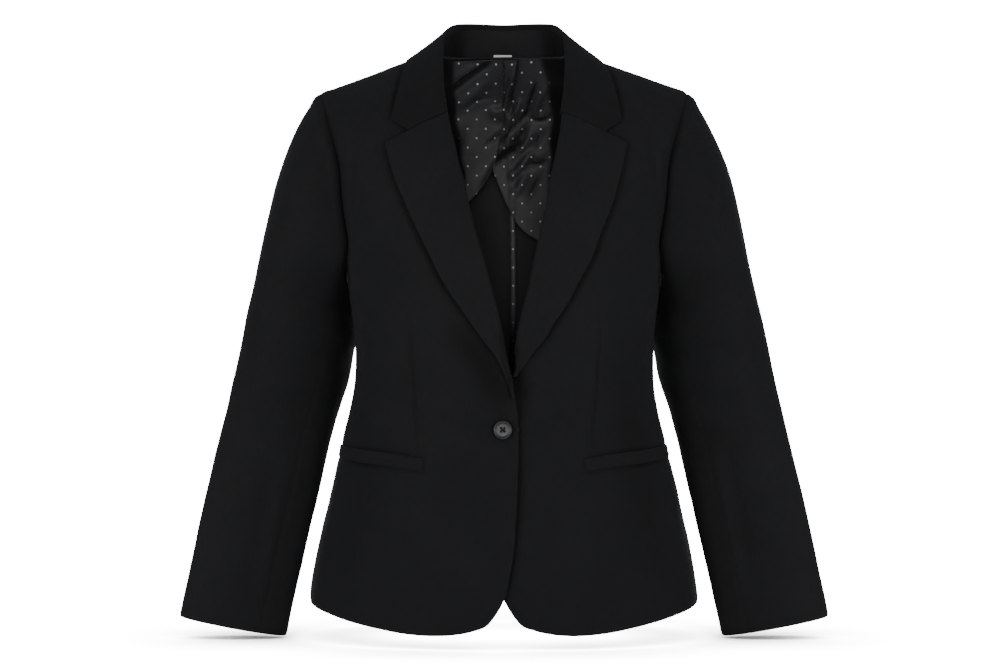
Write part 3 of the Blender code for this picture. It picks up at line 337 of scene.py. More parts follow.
LINING_FOLDS = {  # across on the piece's own side, height
    "right": (
        (6.5, -4.2, ((70, -26), (56, -13), (38, 1), (14, 14))),
        (6.5, 2.6, ((64, -8), (46, 3), (28, 12))),
        (9.0, 1.8, ((58, -40), (36, -22), (16, -4))),
        (4.5, -2.6, ((-20, 2), (-14, -14), (-7, -42))),
        (5.0, 2.2, ((-12, 2), (-7, -16), (0, -44))),
        (3.4, -0.9, ((20, -52), (8, -58), (-5, -54), (-15, -46))),
        (3.0, -1.5, ((-8, -66), (6, -72), (22, -84))),
        (3.0, -1.3, ((46, -40), (30, -30), (12, -28))),
        (8.0, 1.8, ((18, -42), (8, -46), (-4, -42))),
        (7.0, 1.9, ((2, -94), (12, -112), (26, -136))),
        (9.0, -1.4, ((40, -58), (52, -88), (64, -120))),
        (8.0, 1.3, ((58, -60), (64, -84), (72, -110))),
    ),
    "left": (
        (3.6, -3.2, ((40, -6), (32, -26), (26, -44), (11, -61))),
        (3.0, -2.2, ((14, -8), (9, -26), (8, -44))),
        (3.0, -2.0, ((50, -24), (44, -36), (42, -48))),
        (3.2, -2.2, ((14, -56), (2, -72), (-6, -86))),
        (3.0, -2.0, ((48, -66), (40, -76), (36, -90))),
        (3.4, 2.0, ((20, -30), (14, -44), (2, -58))),
        (6.0, 2.2, ((52, -10), (42, -30), (34, -48))),
        (3.4, -2.6, ((28, -50), (38, -53), (48, -52), (58, -45))),
        (3.6, -2.4, ((30, -58), (22, -67), (13, -76), (4, -82))),
        (6.0, 2.4, ((34, -64), (26, -78), (16, -92))),
        (6.0, -4.2, ((28, -72), (16, -83), (2, -91), (-14, -104))),
        (6.0, 2.8, ((34, -90), (20, -108), (6, -122))),
        (4.0, -2.2, ((54, -98), (40, -103), (24, -103))),
        (7.0, 2.4, ((28, -112), (20, -128), (12, -142))),
        (4.5, -1.8, ((44, -112), (34, -132), (26, -148))),
    ),
}
PAINTED_SHADES = {  # painted shade: width, strength, then places: across on the piece's own side, height
    "right": (
        (19.0, 6.0, ((56, -288), (41, -312), (22, -334), (11, -358), (4, -376), (0, -394))),
        (30.0, 2.0, ((158, -380), (150, -440), (158, -500), (166, -590))),
    ),
    "left": (
        (9.5, 13.0, ((16, -342), (14.5, -353), (13.5, -363), (14, -379))),
        (13.0, 2.8, ((24, -336), (20, -352), (18, -372), (18, -400))),
        (4.5, 2.2, ((16.5, -392), (17, -430), (15.5, -500), (13, -530), (10, -548))),
        (5.5, 2.6, ((76, -240), (56, -288), (38, -318), (22, -345))),
        (34.0, 2.6, ((136, -300), (134, -380), (146, -460), (160, -580))),
    ),
}
SEAM_DIP = {"depth": 0.9, "width": 2.4, "shoulder": 0.35, "shoulder_at": 6.0, "shoulder_width": 3.0}
DARTS = {
    "right": ((102, -276), (101.5, -304), (99, -349), (96.5, -384), (94.6, -409), (93, -436)),
    "left": ((104, -276), (103, -304), (101, -349), (98.5, -384), (96, -409), (94.5, -436)),
}
PAINTED_SHADE_STEP = 0.105  # how much light one unit of painted soft shade takes away
# the least share of light that painted shade leaves
LEAST_LIGHT_LEFT = 0.04
STITCH_COLUMNS = ("Spacing", "Stitch Length", "Stitch Width", "Turn")
STITCH_SIZES = {  # in metres, and the turn in radians
    "buttonhole": (0.00062, 0.0023, 0.00055, math.pi / 2),
    "tack": (0.0005, 0.0021, 0.0006, math.pi / 2),
    "hem": (0.0042, 0.0018, 0.0003, 0.0),
    "tape": (0.0034, 0.0018, 0.0003, 0.0),
}


# ---- curves and tables ---------------------------------------------------------------------------
def smooth(at, places, values):
    """Values of a smooth curve through a table's points, for rising or falling places."""
    places, values = np.asarray(places, float), np.asarray(values, float)
    if places[0] > places[-1]:
        places, values = places[::-1], values[::-1]
    at = np.clip(np.asarray(at, float), places[0], places[-1])
    step = np.diff(places)
    slope = np.diff(values) / step
    bend = np.empty_like(values)
    bend[1:-1] = (slope[:-1] * step[1:] + slope[1:] * step[:-1]) / (step[:-1] + step[1:])
    bend[0], bend[-1] = slope[0], slope[-1]
    i = np.clip(np.searchsorted(places, at) - 1, 0, len(step) - 1)
    t = (at - places[i]) / step[i]
    rise = values[i] * (1 + 2 * t) * (1 - t) ** 2 + values[i + 1] * t * t * (3 - 2 * t)
    return rise + step[i] * (bend[i] * t * (1 - t) ** 2 + bend[i + 1] * t * t * (t - 1))


def read(table, columns, name, at, key="height"):
    places, values = columns.index(key), columns.index(name)
    return smooth(at, [row[places] for row in table], [row[values] for row in table])


def along(points, count):
    """A polyline through the points, smoothed, as count + 1 places evenly spaced along it."""
    points = np.asarray(points, float)
    reach = np.concatenate([[0], np.cumsum(np.linalg.norm(np.diff(points, axis=0), axis=1))])
    fine = np.linspace(0, reach[-1], max(40 * len(points), 6 * count))
    curve = np.stack([smooth(fine, reach, points[:, k]) for k in range(points.shape[1])], axis=1)
    travelled = np.concatenate([[0], np.cumsum(np.linalg.norm(np.diff(curve, axis=0), axis=1))])
    even = np.linspace(0, travelled[-1], count + 1)
    return np.stack([np.interp(even, travelled, curve[:, k]) for k in range(points.shape[1])], axis=1)


def side_name(side):
    return "right" if side < 0 else "left"


def mirrored(points, side):
    return points * [side, 1, 1]


def unit(vectors):
    return vectors / np.maximum(np.linalg.norm(vectors, axis=-1, keepdims=True), 1e-9)


def ease(x, low, high):
    """0 up to low, 1 from high, and a soft step between."""
    t = np.clip((np.asarray(x, float) - low) / (high - low), 0, 1)
    return t * t * (3 - 2 * t)


# ---- the body form -------------------------------------------------------------------------------
def ridge(across):
    return SHOULDER_TOP - SHOULDER_FALL * np.abs(across)


def half_width(height):
    return read(BODY, BODY_COLUMNS, "half_width", height)


def angle_of(across, height):
    share = np.clip(across / half_width(height), -1, 1)
    return np.degrees(np.arcsin(np.sign(share) * np.abs(share) ** (ROUNDNESS / 2)))


def across_of(angle, height):
    turn = np.sin(np.radians(angle))
    return half_width(height) * np.sign(turn) * np.abs(turn) ** (2 / ROUNDNESS)


def section_at(angle, height):
    front = np.cos(np.radians(angle)) > 0
    ahead = read(BODY, BODY_COLUMNS, "front_depth", height)
    behind = read(BODY, BODY_COLUMNS, "back_depth", height)
    across = across_of(angle, height)
    front_roll = FRONT_ROLL[0] - FRONT_ROLL[1] * np.abs(across)
    back_roll = BACK_ROLL[0] - BACK_ROLL[1] * np.abs(across)
    drop = np.clip((ridge(across) - height) / np.where(front, front_roll, back_roll), 0, 1)
    return np.where(front, -1, 1), np.where(front, ahead, behind), drop


def body_place(angle, height):
    """The body's point at an angle and a height; x is towards the piece's own side."""
    across = across_of(angle, height)
    swing = np.abs(np.cos(np.radians(angle))) ** (2 / ROUNDNESS)
    facing, depth, drop = section_at(angle, height)
    over = np.sqrt(1 - (1 - drop) ** 2)
    return np.stack(np.broadcast_arrays(across, facing * depth * swing * over, height), axis=-1)


def body_at(across, height, face):
    angle = angle_of(across, height)
    return body_place(angle if face == "front" else 180 - angle, height)


def line_on_body(line, face="front"):
    return np.array([body_at(x, z, face) for x, z in line])


def body_normal(angle, height):
    """The direction out of the body at an angle and a height."""
    across, wide = across_of(angle, height), half_width(height)
    swing = np.abs(np.cos(np.radians(angle))) ** (2 / ROUNDNESS)
    facing, depth, drop = section_at(angle, height)
    x = np.sign(across) * np.abs(across / wide) ** (ROUNDNESS - 1) / wide
    y = facing * swing ** (ROUNDNESS - 1) / depth
    level = np.sqrt(1 - (1 - drop) ** 2) / np.hypot(x, y)
    up = (1 - drop) / math.hypot(1, SHOULDER_FALL)
    lean = up * SHOULDER_FALL * np.sign(across)
    return unit(np.stack([level * x + lean, level * y, up + 0 * x], axis=-1))


def lap(points, side):
    """Moves a front out at the lap on the right and back on the left."""
    fade = (1 - ease(points[..., 0], *LAP_FADE)) * (1 - ease(points[..., 2], *LAP_TOP))
    moved = points.copy()
    moved[..., 1] -= fade * (LAP_RIGHT if side < 0 else -LAP_LEFT)
    return moved


def moved_out(across, height, face, distance, side):
    """Places on the body moved out of it; a front's lap is followed."""
    angle = angle_of(across, height)
    angle = angle if face == "front" else 180 - angle
    points = body_place(angle, height)
    if face == "front":
        points = lap(points, side)
    return points + body_normal(angle, height) * np.asarray(distance)[..., None]


def row_between(inner, outer, shares):
    """Places from an inner (angle, height) to an outer one, their heights even across the piece."""
    angle = inner[0] + (outer[0] - inner[0]) * shares
    height = inner[1] + (outer[1] - inner[1]) * shares
    for _ in range(4):
        across = across_of(angle, height)
        ends = across_of(inner[0], inner[1]), across_of(outer[0], outer[1])
        share = np.clip((across - ends[0]) / (ends[1] - ends[0]), 0, 1)
        height = inner[1] + (outer[1] - inner[1]) * share
    return angle, height


# ---- panels as grids of (angle, height) -----------------------------------------------------------
def armhole_places(first, last, count):
    end = angle_of((SHOULDER_TOP - SHOULDER_POINT) / SHOULDER_FALL, SHOULDER_POINT)
    loop = np.array([(SHOULDER_POINT, end), *ARMHOLE, (SHOULDER_POINT, 180 - end)], float)
    scaled = np.stack([loop[:, 0], loop[:, 1] * ANGLE_WEIGHT], axis=1)
    part = along(scaled[first : last + 1], count)
    return np.stack([part[:, 1] / ANGLE_WEIGHT, part[:, 0]], axis=1)


def armhole():
    """The whole armhole as (angle, height): front part, under the arm, back part."""
    front = armhole_places(0, 8, ROWS["roll"] + ROWS["neck"])
    under = armhole_places(8, 12, ROWS["under_arm"])
    back = armhole_places(12, 19, ROWS["centre_back"] + ROWS["neck"])
    return front, under, back


def seam_angle(name, height):
    return read(SIDE_SEAMS, SIDE_SEAM_COLUMNS, name, height)


def hem_height(angle):
    across = np.abs(across_of(angle, HEM_LEVEL))
    front = read(HEM, HEM_COLUMNS, "front", across, key="across")
    back = read(HEM, HEM_COLUMNS, "back", across, key="across")
    return np.where(np.asarray(angle) < 90, front, back)


def roll_line(side):
    return ROLL_RIGHT if side < 0 else ROLL_LEFT


def lapel_edge(side):
    return LAPEL_RIGHT if side < 0 else LAPEL_LEFT


def lining_edge(side):
    return LINING_RIGHT if side < 0 else LINING_LEFT


def front_edge(side, heights):
    rows = EDGE + roll_line(side)
    edge = smooth(heights, [r[0] for r in rows], [r[1] for r in rows])
    return edge + read(EDGE_SWING, EDGE_SWING_COLUMNS, "swing", heights) if side < 0 else edge


def neck_line(table, count):
    """Places along the neck seam: across, height."""
    return along([(r[1], r[0]) for r in table], count)


def lower_rows(inner_of, outer_of, top_of, shares):
    """Rows from the hem up to a piece's top line; each column rises evenly at its share across."""
    rows = []
    for t in np.linspace(0, 1, ROWS["lower"] + 1):
        height = np.full(len(shares), MIDDLE_LEVEL)
        for _ in range(6):
            inner, outer = inner_of(height[0]), outer_of(height[-1])
            angle = inner + (outer - inner) * shares
            hem = hem_height(angle)
            height = hem + (top_of(shares) - hem) * t
        rows.append(np.stack([angle, height], axis=1))
    return rows


def front_places(side):
    loop = armhole()[0][::-1]
    even = np.linspace(0, 1, COLUMNS["front"] + 1)
    shares = even**FRONT_CROWDING
    lower = lower_rows(
        lambda h: angle_of(front_edge(side, h), h),
        lambda h: seam_angle("front", h),
        lambda share: np.full_like(share, UNDERARM),
        shares,
    )
    roll = [(r[1], r[0]) for r in roll_line(side) if r[0] >= UNDERARM]
    inner = np.concatenate([along(roll, ROWS["roll"]), neck_line(FRONT_NECK, ROWS["neck"])[1:]])
    inner = np.stack([angle_of(inner[:, 0], inner[:, 1]), inner[:, 1]], axis=1)
    upper = []
    for k in range(1, len(loop)):
        rise = k / (len(loop) - 1)
        upper.append(np.stack(row_between(inner[k], loop[k], shares + (even - shares) * rise), axis=1))
    return np.array(lower + upper)


def side_places():
    under = armhole()[1]
    shares = (under[:, 0] - under[0, 0]) / (under[-1, 0] - under[0, 0])
    return np.array(
        lower_rows(
            lambda h: seam_angle("front", h),
            lambda h: seam_angle("back", h),
            lambda share: under[:, 1],
            shares,
        )
    )


def back_places(side):
    loop = armhole()[2]
    top = loop[0][1]

    def centre(h):
        shift = read(CENTRE_BACK, CENTRE_BACK_COLUMNS, "across", h)
        return 180 - angle_of(side * shift, h)

    shares = np.linspace(0, 1, COLUMNS["back"] + 1)
    lower = lower_rows(
        centre, lambda h: seam_angle("back", h), lambda share: np.full_like(share, top), shares
    )
    heights = np.linspace(top, BACK_NECK[0][0], ROWS["centre_back"] + 1)
    neck = neck_line(BACK_NECK, ROWS["neck"])[1:]
    inner = [(centre(h), h) for h in heights] + [(180 - angle_of(x, h), h) for x, h in neck]
    upper = [np.stack(row_between(inner[k], loop[k], shares), axis=1) for k in range(1, len(loop))]
    return np.array(lower + upper)


# ---- folds and seams -----------------------------------------------------------------------------
def fold_height(points, path, width, height):
    """How far one fold lifts each point; it fades out at both ends of its path."""
    path = along(path, 14)
    best = np.full(points.shape[:-1], 1e9)
    where = np.zeros(points.shape[:-1])
    for k in range(len(path) - 1):
        step = path[k + 1] - path[k]
        t = np.clip(((points - path[k]) @ step) / (step @ step), 0, 1)
        away = np.linalg.norm(points - path[k] - t[..., None] * step, axis=-1)
        closer = away < best
        best = np.where(closer, away, best)
        where = np.where(closer, (k + t) / (len(path) - 1), where)
    q = (best / width) ** 2
    fade = np.sin(np.pi * np.clip(where * 0.96 + 0.02, 0, 1)) ** 0.7
    return height * (1 - 0.5 * q) * np.exp(-q) * fade


def uneven(points):
    """The slow unevenness that any hanging cloth has, the same for every piece at one place."""
    waves = (
        (0.34, (0.041, 0.013, 0.019), 0.4),
        (0.30, (-0.023, 0.031, 0.037), 2.1),
        (0.22, (0.067, 0.021, -0.029), 4.0),
        (0.16, (0.031, -0.053, 0.083), 1.2),
        (0.10, (-0.121, 0.047, 0.061), 5.3),
        (0.07, (0.083, 0.161, 0.137), 3.3),
    )
    total = 0.0
    for size, rate, phase in waves:
        total = total + size * np.sin(points @ np.array(rate) * 1.15 + phase)
    return total


def edge_distances(grid):
    """Distance along the cloth from each of a grid's four edges."""
    down = np.linalg.norm(np.diff(grid, axis=0), axis=-1)
    across = np.linalg.norm(np.diff(grid, axis=1), axis=-1)
    from_bottom = np.concatenate([np.zeros((1, grid.shape[1])), np.cumsum(down, axis=0)])
    from_inner = np.concatenate([np.zeros((grid.shape[0], 1)), np.cumsum(across, axis=1)], axis=1)
    return {
        "bottom": from_bottom,
        "top": from_bottom[-1:] - from_bottom,
        "inner": from_inner,
        "outer": from_inner[:, -1:] - from_inner,
    }


def seam_line(distance):
    """The small valley at a sewn seam, with the turned-in cloth's soft ridge beside it."""
    valley = np.exp(-((distance / SEAM_DIP["width"]) ** 2))
    shoulder = np.exp(-(((distance - SEAM_DIP["shoulder_at"]) / SEAM_DIP["shoulder_width"]) ** 2))
    return SEAM_DIP["shoulder"] * shoulder - SEAM_DIP["depth"] * valley


def edge_roll(distance, size=0.8, width=3.0):
    """How a folded free edge turns under."""
    return -size * np.exp(-((distance / width) ** 2))


def supported(count):
    """Row numbers with extra ones close to both ends, so that an edge stays crisp."""
    near, far = 0.22, 0.6
    inside = list(range(1, count - 1))
    return np.array([0, near, far, *inside, count - 1 - far, count - 1 - near, count - 1], float)


def resampled(grid):
    """The grid with extra rows and columns close to its edges."""
    for axis in (0, 1):
        at = supported(grid.shape[axis])
        low = np.minimum(np.floor(at).astype(int), grid.shape[axis] - 2)
        share = (at - low).reshape([-1 if k == axis else 1 for k in range(grid.ndim)])
        grid = np.take(grid, low, axis) * (1 - share) + np.take(grid, low + 1, axis) * share
    return grid


def refined(grid, normal):
    """A grid and its normals, both with extra rows and columns close to the edges."""
    both = resampled(np.concatenate([grid, normal], axis=-1))
    return both[..., :3], unit(both[..., 3:])


def pulled_in(grid, names):
    """Draws a grid's named edges back along the cloth by half a seam's gap."""
    grid = grid.copy()
    for name in names:
        turned = grid if name in ("bottom", "top") else grid.swapaxes(0, 1)
        edge, inside = (0, 1) if name in ("bottom", "inner") else (-1, -2)
        turned[edge] += SEAM_GAP / 2 * unit(turned[inside] - turned[edge])
    return grid


def near_edges(edges, names, reach):
    """1 along the named edges of a grid, fading out over a reach; edges are its edge distances."""
    return np.exp(-np.minimum.reduce([edges[name] for name in names]) / reach)


def normals_of(grid, away_from):
    """Unit normals of a grid, on the side away from the given points."""
    normal = unit(np.cross(np.gradient(grid, axis=1), np.gradient(grid, axis=0)))
    return normal if np.sum(normal * (grid - away_from)) >= 0 else -normal


def cloth_uv(grid):
    """Places on the flat cloth, in millimetres: across from the middle column, and up along it."""
    edges, middle = edge_distances(grid), grid.shape[1] // 2
    across, up = edges["inner"], edges["bottom"][:, middle : middle + 1]
    return np.stack(np.broadcast_arrays(across - across[:, middle : middle + 1], up), axis=-1)


# ---- cloth meshes --------------------------------------------------------------------------------
def ring_of(rows, columns):
    """Grid places all round the rim, in order."""
    ring = [(0, c) for c in range(columns)] + [(r, columns - 1) for r in range(1, rows)]
    ring += [(rows - 1, c) for c in range(columns - 2, -1, -1)] + [(r, 0) for r in range(rows - 2, 0, -1)]
    return ring


def add_mesh(name, points, faces, uv=None, masks=None, flip=False):
    """One object with its place in its mesh."""
    faces = [face[::-1] for face in faces] if flip else faces
    mesh = bpy.data.meshes.new(name)
    mesh.from_pydata((np.asarray(points, float) * MM).tolist(), [], faces)
    corners = np.empty(len(mesh.loops), dtype=np.int32)
    mesh.loops.foreach_get("vertex_index", corners)
    if uv is not None:
        layer = mesh.uv_layers.new(name="cloth")
        layer.data.foreach_set("uv", (np.asarray(uv, float)[corners] * MM).astype(np.float32).ravel())
    for mask, values in (masks or {}).items():
        spread = mesh.attributes.new(mask, "FLOAT", "POINT")
        spread.data.foreach_set("value", np.asarray(values, np.float32))
    mesh.shade_smooth()
    piece = bpy.data.objects.new(name, mesh)
    bpy.context.scene.collection.objects.link(piece)
    return piece


def inside_out(points, faces):
    """Whether a closed form's faces point inwards."""
    quads = np.array([face if len(face) == 4 else (*face, face[-1]) for face in faces])
    a, b, c, d = (points[quads[:, k]] for k in range(4))
    return np.einsum("ij,ij->", a, np.cross(b, c)) + np.einsum("ij,ij->", a, np.cross(c, d)) < 0


def cloth_wall(name, outer, inner, uv, wear_and_painted_shade, wrong_face_and_painted_shading=(0.0, 0.0)):
    """A closed thin wall of cloth whose rim is rounded.

    The rubbed-edge mask is above 0 where an edge is rubbed and below 0 where shade is painted on the cloth.
    The last argument has one value for the outer face and one for the inner: on the suiting how much it takes
    the lighter colour of its wrong side, partly as painted light; on the lining and the tape how much painted
    shade lies on it.
    """
    rows, columns = outer.shape[:2]
    skin = rows * columns
    number = np.arange(skin).reshape(rows, columns)
    a, b = number[:-1, :-1], number[:-1, 1:]
    d, c = number[1:, :-1], number[1:, 1:]
    face = np.stack([a, b, c, d], axis=-1).reshape(-1, 4)
    faces = [tuple(f) for f in face.tolist()] + [tuple(f) for f in (face[:, ::-1] + skin).tolist()]
    ring = ring_of(rows, columns)
    r, k = np.array(ring).T
    inside_r, inside_c = np.clip(r, 1, rows - 2), np.clip(k, 1, columns - 2)
    away = unit(outer[r, k] - outer[inside_r, inside_c])
    thick = np.linalg.norm(outer[r, k] - inner[r, k], axis=1)[:, None]
    rim = (outer[r, k] + inner[r, k]) / 2 + away * thick * RIM_BULGE
    for i in range(len(ring)):
        n = (i + 1) % len(ring)
        u, v = int(number[ring[i]]), int(number[ring[n]])
        faces.append((v, u, 2 * skin + i, 2 * skin + n))
        faces.append((2 * skin + n, 2 * skin + i, skin + u, skin + v))
    points = np.concatenate([outer.reshape(-1, 3), inner.reshape(-1, 3), rim])
    flat_uv, flat_wear_and_shade = uv.reshape(-1, 2), wear_and_painted_shade.reshape(-1)
    uv = np.concatenate([flat_uv, flat_uv, uv[r, k]])
    front_tone, back_tone = (np.broadcast_to(tone, (rows, columns)) for tone in wrong_face_and_painted_shading)
    wrong_face_and_painted_shading = np.concatenate([front_tone.reshape(-1), back_tone.reshape(-1), front_tone[r, k]])
    masks = {"rubbed_edges_and_painted_shade": np.concatenate([flat_wear_and_shade, flat_wear_and_shade, wear_and_painted_shade[r, k]]), "wrong_face_and_painted_shading": wrong_face_and_painted_shading}
    return add_mesh(name, points, faces, uv, masks, flip=inside_out(points, faces))


def cloth_behind(name, outer, normal, thick, wear_and_painted_shade, wrong_face_and_painted_shading=(0.0, 0.0)):
    """A cloth wall whose inner face lies one thickness behind its outer one."""
    return cloth_wall(name, outer, outer - thick * normal, cloth_uv(outer), wear_and_painted_shade, wrong_face_and_painted_shading)


def search_tree(pieces):
    """The faces of several pieces in millimetres, for finding where a line meets them."""
    points, faces, start = [], [], 0
    for piece in pieces:
        mesh = piece.data
        places = np.empty(len(mesh.vertices) * 3, dtype=np.float32)
        mesh.vertices.foreach_get("co", places)
        points.append(places.reshape(-1, 3) / MM)
        faces += [tuple(v + start for v in face.vertices) for face in mesh.polygons]
        start += len(mesh.vertices)
    return BVHTree.FromPolygons(np.concatenate(points).tolist(), faces)


# ---- body panels ---------------------------------------------------------------------------------
def imprints(side):
    """Soft pressed lines on a front, just beyond the edges of what lies on it: line, width, depth."""
    yield [(row[1] + 2.4, row[0]) for row in lapel_edge(side)[1:]], 6.0, -2.4
    yield [((row[0] if side < 0 else row[1]) + 2.0, row[2]) for row in FALL_EDGE[:5]], 5.0, -2.2
    yield [(x, z - WELT["height"] / 2) for x, z in WELT_TOP], 9.5, -2.2
    if side > 0:
        yield [(30, -344), (22, -362), (17, -380), (15.5, -400)], 8.0, -3.4


def painted_soft_shade(points, side):
    """How much painted shade darkens a front: beside the lapel and the lap, along the welts and darts, round
    the button and towards the sides.
    """
    total = 0.0
    lines = list(PAINTED_SHADES[side_name(side)])
    lines.append((4.0, 2.6, [(row[1] + 1.6, row[0]) for row in lapel_edge(side)[2:-1]]))
    for drop in (-1.2, WELT["height"] + 1.2):
        lines.append((2.8, 8.0, [(x, z - drop) for x, z in WELT_TOP]))
    if side < 0:
        # a painted shadow round the button
        reach = BUTTON["radius"] + 0.3
        ring = [(reach * math.cos(a) - BUTTON["across"], reach * math.sin(a) + BUTTON["height"])
                for a in (math.tau * k / 24 for k in range(25))]
        lines.append((3.0, 5.0, ring))
    lines.append((2.0, 1.4, DARTS[side_name(side)][1:]))
    for width, strength, line in lines:
        total = total + fold_height(points, line_on_body(line), width, strength)
    return total


def folds_on_body(points, label, side):
    """All the folds near one panel; points are on the piece's own side."""
    total = uneven(mirrored(points, side))
    folds = FRONT_FOLDS["both"] + FRONT_FOLDS[side_name(side)]
    for face, table in (("front", folds), ("back", BACK_FOLDS)):
        for width, height, path in table:
            total = total + fold_height(points, line_on_body(path, face), width, FOLD_GAIN * height)
    if label == "front":
        dart = line_on_body(DARTS[side_name(side)])
        total = total + fold_height(points, dart, 3.0, -2.6) + fold_height(points, dart, 12.0, 1.2)
        for line, width, depth in imprints(side):
            path = line_on_body(line)
            if line[-1][0] > 180:  # a welt's line runs on round the side
                path = np.concatenate([path, [body_at(176, line[-1][1] + 3, "back")]])
            total = total + fold_height(points, path, width, depth)
    return total


def panel_grid(label, side):
    """One panel's outer face, its normals, and the wear along its edges."""
    places = {"front": lambda: front_places(side), "side": side_places, "back": lambda: back_places(side)}
    places = resampled(places[label]())
    angle, height = places[..., 0], places[..., 1]
    points = body_place(angle, height)
    normal = body_normal(angle, height)
    if label == "front":
        points = lap(points, side)
    edges = edge_distances(points)
    lift = folds_on_body(points, label, side)
    if label == "front":
        below_neck = ease(height[:, :1], -70, -60)
        lift += edge_roll(edges["bottom"]) * ease(edges["inner"], 0, 6)
        lift += edge_roll(edges["inner"], 0.9, 2.6) * (1 - below_neck)
        lift += seam_line(edges["inner"]) * below_neck + seam_line(edges["outer"])
    else:
        lift += seam_line(edges["inner"]) + seam_line(edges["outer"]) + edge_roll(edges["bottom"])
    lift += seam_line(edges["top"])
    points = points + normal * lift[..., None]
    wear_and_painted_shade = near_edges(edges, ALL_EDGES, 1.6)
    if label == "front":
        # painted shade takes the front's mask below 0
        wear_and_painted_shade = wear_and_painted_shade - painted_soft_shade(points, side)
    return mirrored(points, side), mirrored(normal, side), wear_and_painted_shade


def tucked_roll(points, normal, side):
    """Draws the front's roll edge back inside the turn of the lapel."""
    toe, height = TOE[side_name(side)], points[:, 0, 2]
    share = ease(height, toe, toe + 16) * (1 - ease(height, -64, -58))
    into = unit(points[:, 8] - points[:, 0])
    distance = np.linalg.norm(points - points[:, :1], axis=-1)
    near = np.clip(1 - distance / 12.0, 0, 1)
    move = (LAPEL["tuck"] * share)[:, None] * near
    return points + into[:, None] * move[..., None] - normal * (move * 0.35)[..., None]


def build_panels():
    """Fronts, sides and backs."""
    pieces = {}
    for side in SIDES:
        for label in ("front", "side", "back"):
            points, normal, wear_and_painted_shade = panel_grid(label, side)
            if label == "front":
                points = tucked_roll(points, normal, side)
            outer = pulled_in(points, ("inner", "outer", "top"))
            name = f"{label}_{side_name(side)}_cloth"
            from_top = edge_distances(outer)["top"]
            open_part = ease(from_top, 4.0, 10.0)
            # away from the top the inner face takes the wrong side's lighter colour, partly as painted light
            wrong_face_and_painted_shading = (0.0, 0.0 if label == "front" else open_part)
            if label == "back":
                # painted shade along a back's top edge, in place of its rubbed edge
                wear_and_painted_shade = wear_and_painted_shade * ease(from_top, 0.0, 4.0) - 3.0 * (1 - open_part)
            pieces[name] = cloth_behind(name, outer, normal, CLOTH, wear_and_painted_shade, wrong_face_and_painted_shading)
    return pieces


# ---- sleeves -------------------------------------------------------------------------------------
def sleeve_ring(height, turns):
    """The sleeve's ring at a height: turn 0 is outermost and 90 the front."""
    outer = read(SLEEVE, SLEEVE_COLUMNS, "outer", height + SLEEVE_SLANT)
    inner = read(SLEEVE, SLEEVE_COLUMNS, "inner", height - SLEEVE_SLANT)
    depth, shift, sweep = (
        read(SLEEVE_RINGS, SLEEVE_RINGS_COLUMNS, name, height) for name in SLEEVE_RINGS_COLUMNS[1:]
    )
    middle, reach = (outer + inner) / 2, (outer - inner) / 2
    turn = np.radians(turns)
    out = np.cos(turn)
    y = shift - depth * np.sin(turn) + sweep * ((1 - out) / 2) ** 2
    return np.stack([middle + reach * out, y, height + SLEEVE_SLANT * out], axis=-1)


def sleeve_tube():
    """The sleeve from armhole to cuff, its tube angles, its two seams' columns and the armhole's normals."""
    front, under, back = armhole()
    loop = np.concatenate([front, under[1:], back[1:]])
    start = body_place(loop[:, 0], loop[:, 1])
    start_normal = body_normal(loop[:, 0], loop[:, 1])
    front_seam = ROWS["roll"] + ROWS["neck"] - 2 * FINE
    back_seam = ROWS["roll"] + ROWS["neck"] + ROWS["under_arm"] + 2 * FINE
    steps = np.linalg.norm(np.diff(start, axis=0), axis=1)
    reach = np.concatenate([[0], np.cumsum(steps)])
    marks = [0, reach[front_seam], reach[back_seam], reach[-1]]
    turns = np.interp(reach, marks, [0, CUFF_FRONT_SEAM, CUFF_BACK_SEAM, 360])
    first_ring = sleeve_ring(SLEEVE_RINGS[0][0], turns)
    run = unit(sleeve_ring(SLEEVE_RINGS[0][0] - 20, turns) - first_ring)
    top = (1 + np.cos(np.radians(turns))) / 2
    fore = np.sin(np.radians(turns))
    out = CAP_LEAVE["out"] + CAP_LEAVE["out_on_top"] * top
    up = -CAP_LEAVE["down"] + CAP_LEAVE["up_on_top"] * top
    leave = unit(np.stack([out, -CAP_LEAVE["forward"] * fore, up], axis=1))
    span = np.linalg.norm(first_ring - start, axis=1, keepdims=True)
    rows = []
    for t in np.linspace(0, 1, CAP_RINGS * FINE + 1):
        a = start + leave * span * CAP_START
        b = first_ring - run * span * CAP_END
        rows.append(
            (1 - t) ** 3 * start + 3 * t * (1 - t) ** 2 * a + 3 * t * t * (1 - t) * b + t**3 * first_ring
        )
    heights = np.linspace(SLEEVE_RINGS[0][0], SLEEVE_RINGS[-1][0], SLEEVE_LOWER_RINGS + 1)[1:]
    rows += [sleeve_ring(h, turns) for h in heights]
    return np.array(rows), turns, front_seam, back_seam, start_normal


def crown(tube, turns):
    """The sleeve head's roll just past the armhole seam, and the ease gathered into it."""
    away = edge_distances(tube)["bottom"]
    over = ((1 + np.cos(np.radians(turns))) / 2)[None]
    roll = CROWN["roll"] * np.exp(-(((away - CROWN["roll_at"]) / CROWN["roll_width"]) ** 2)) * over**0.7
    waves = np.sin(np.radians(turns) * CROWN["gathers"] + 0.7)[None]
    dimple = CROWN["gather"] * np.exp(-(((away - CROWN["gather_at"]) / CROWN["gather_width"]) ** 2)) * waves
    return roll + dimple * over + seam_line(away)


def sleeve_fold_lift(tube, side):
    """All the folds of a sleeve; the left one's lie a little higher and are fuller than the right one's."""
    total = uneven(mirrored(tube, side) * [1.0, 1.6, 0.8])
    for width, height, path in SLEEVE_FOLDS:
        run = np.array([sleeve_ring(z + 2.0 * side, np.array(turn + 3.0 * side)) for turn, z in path])
        total = total + fold_height(tube, run, width, FOLD_GAIN * height * (1.0 + 0.12 * side))
    return total


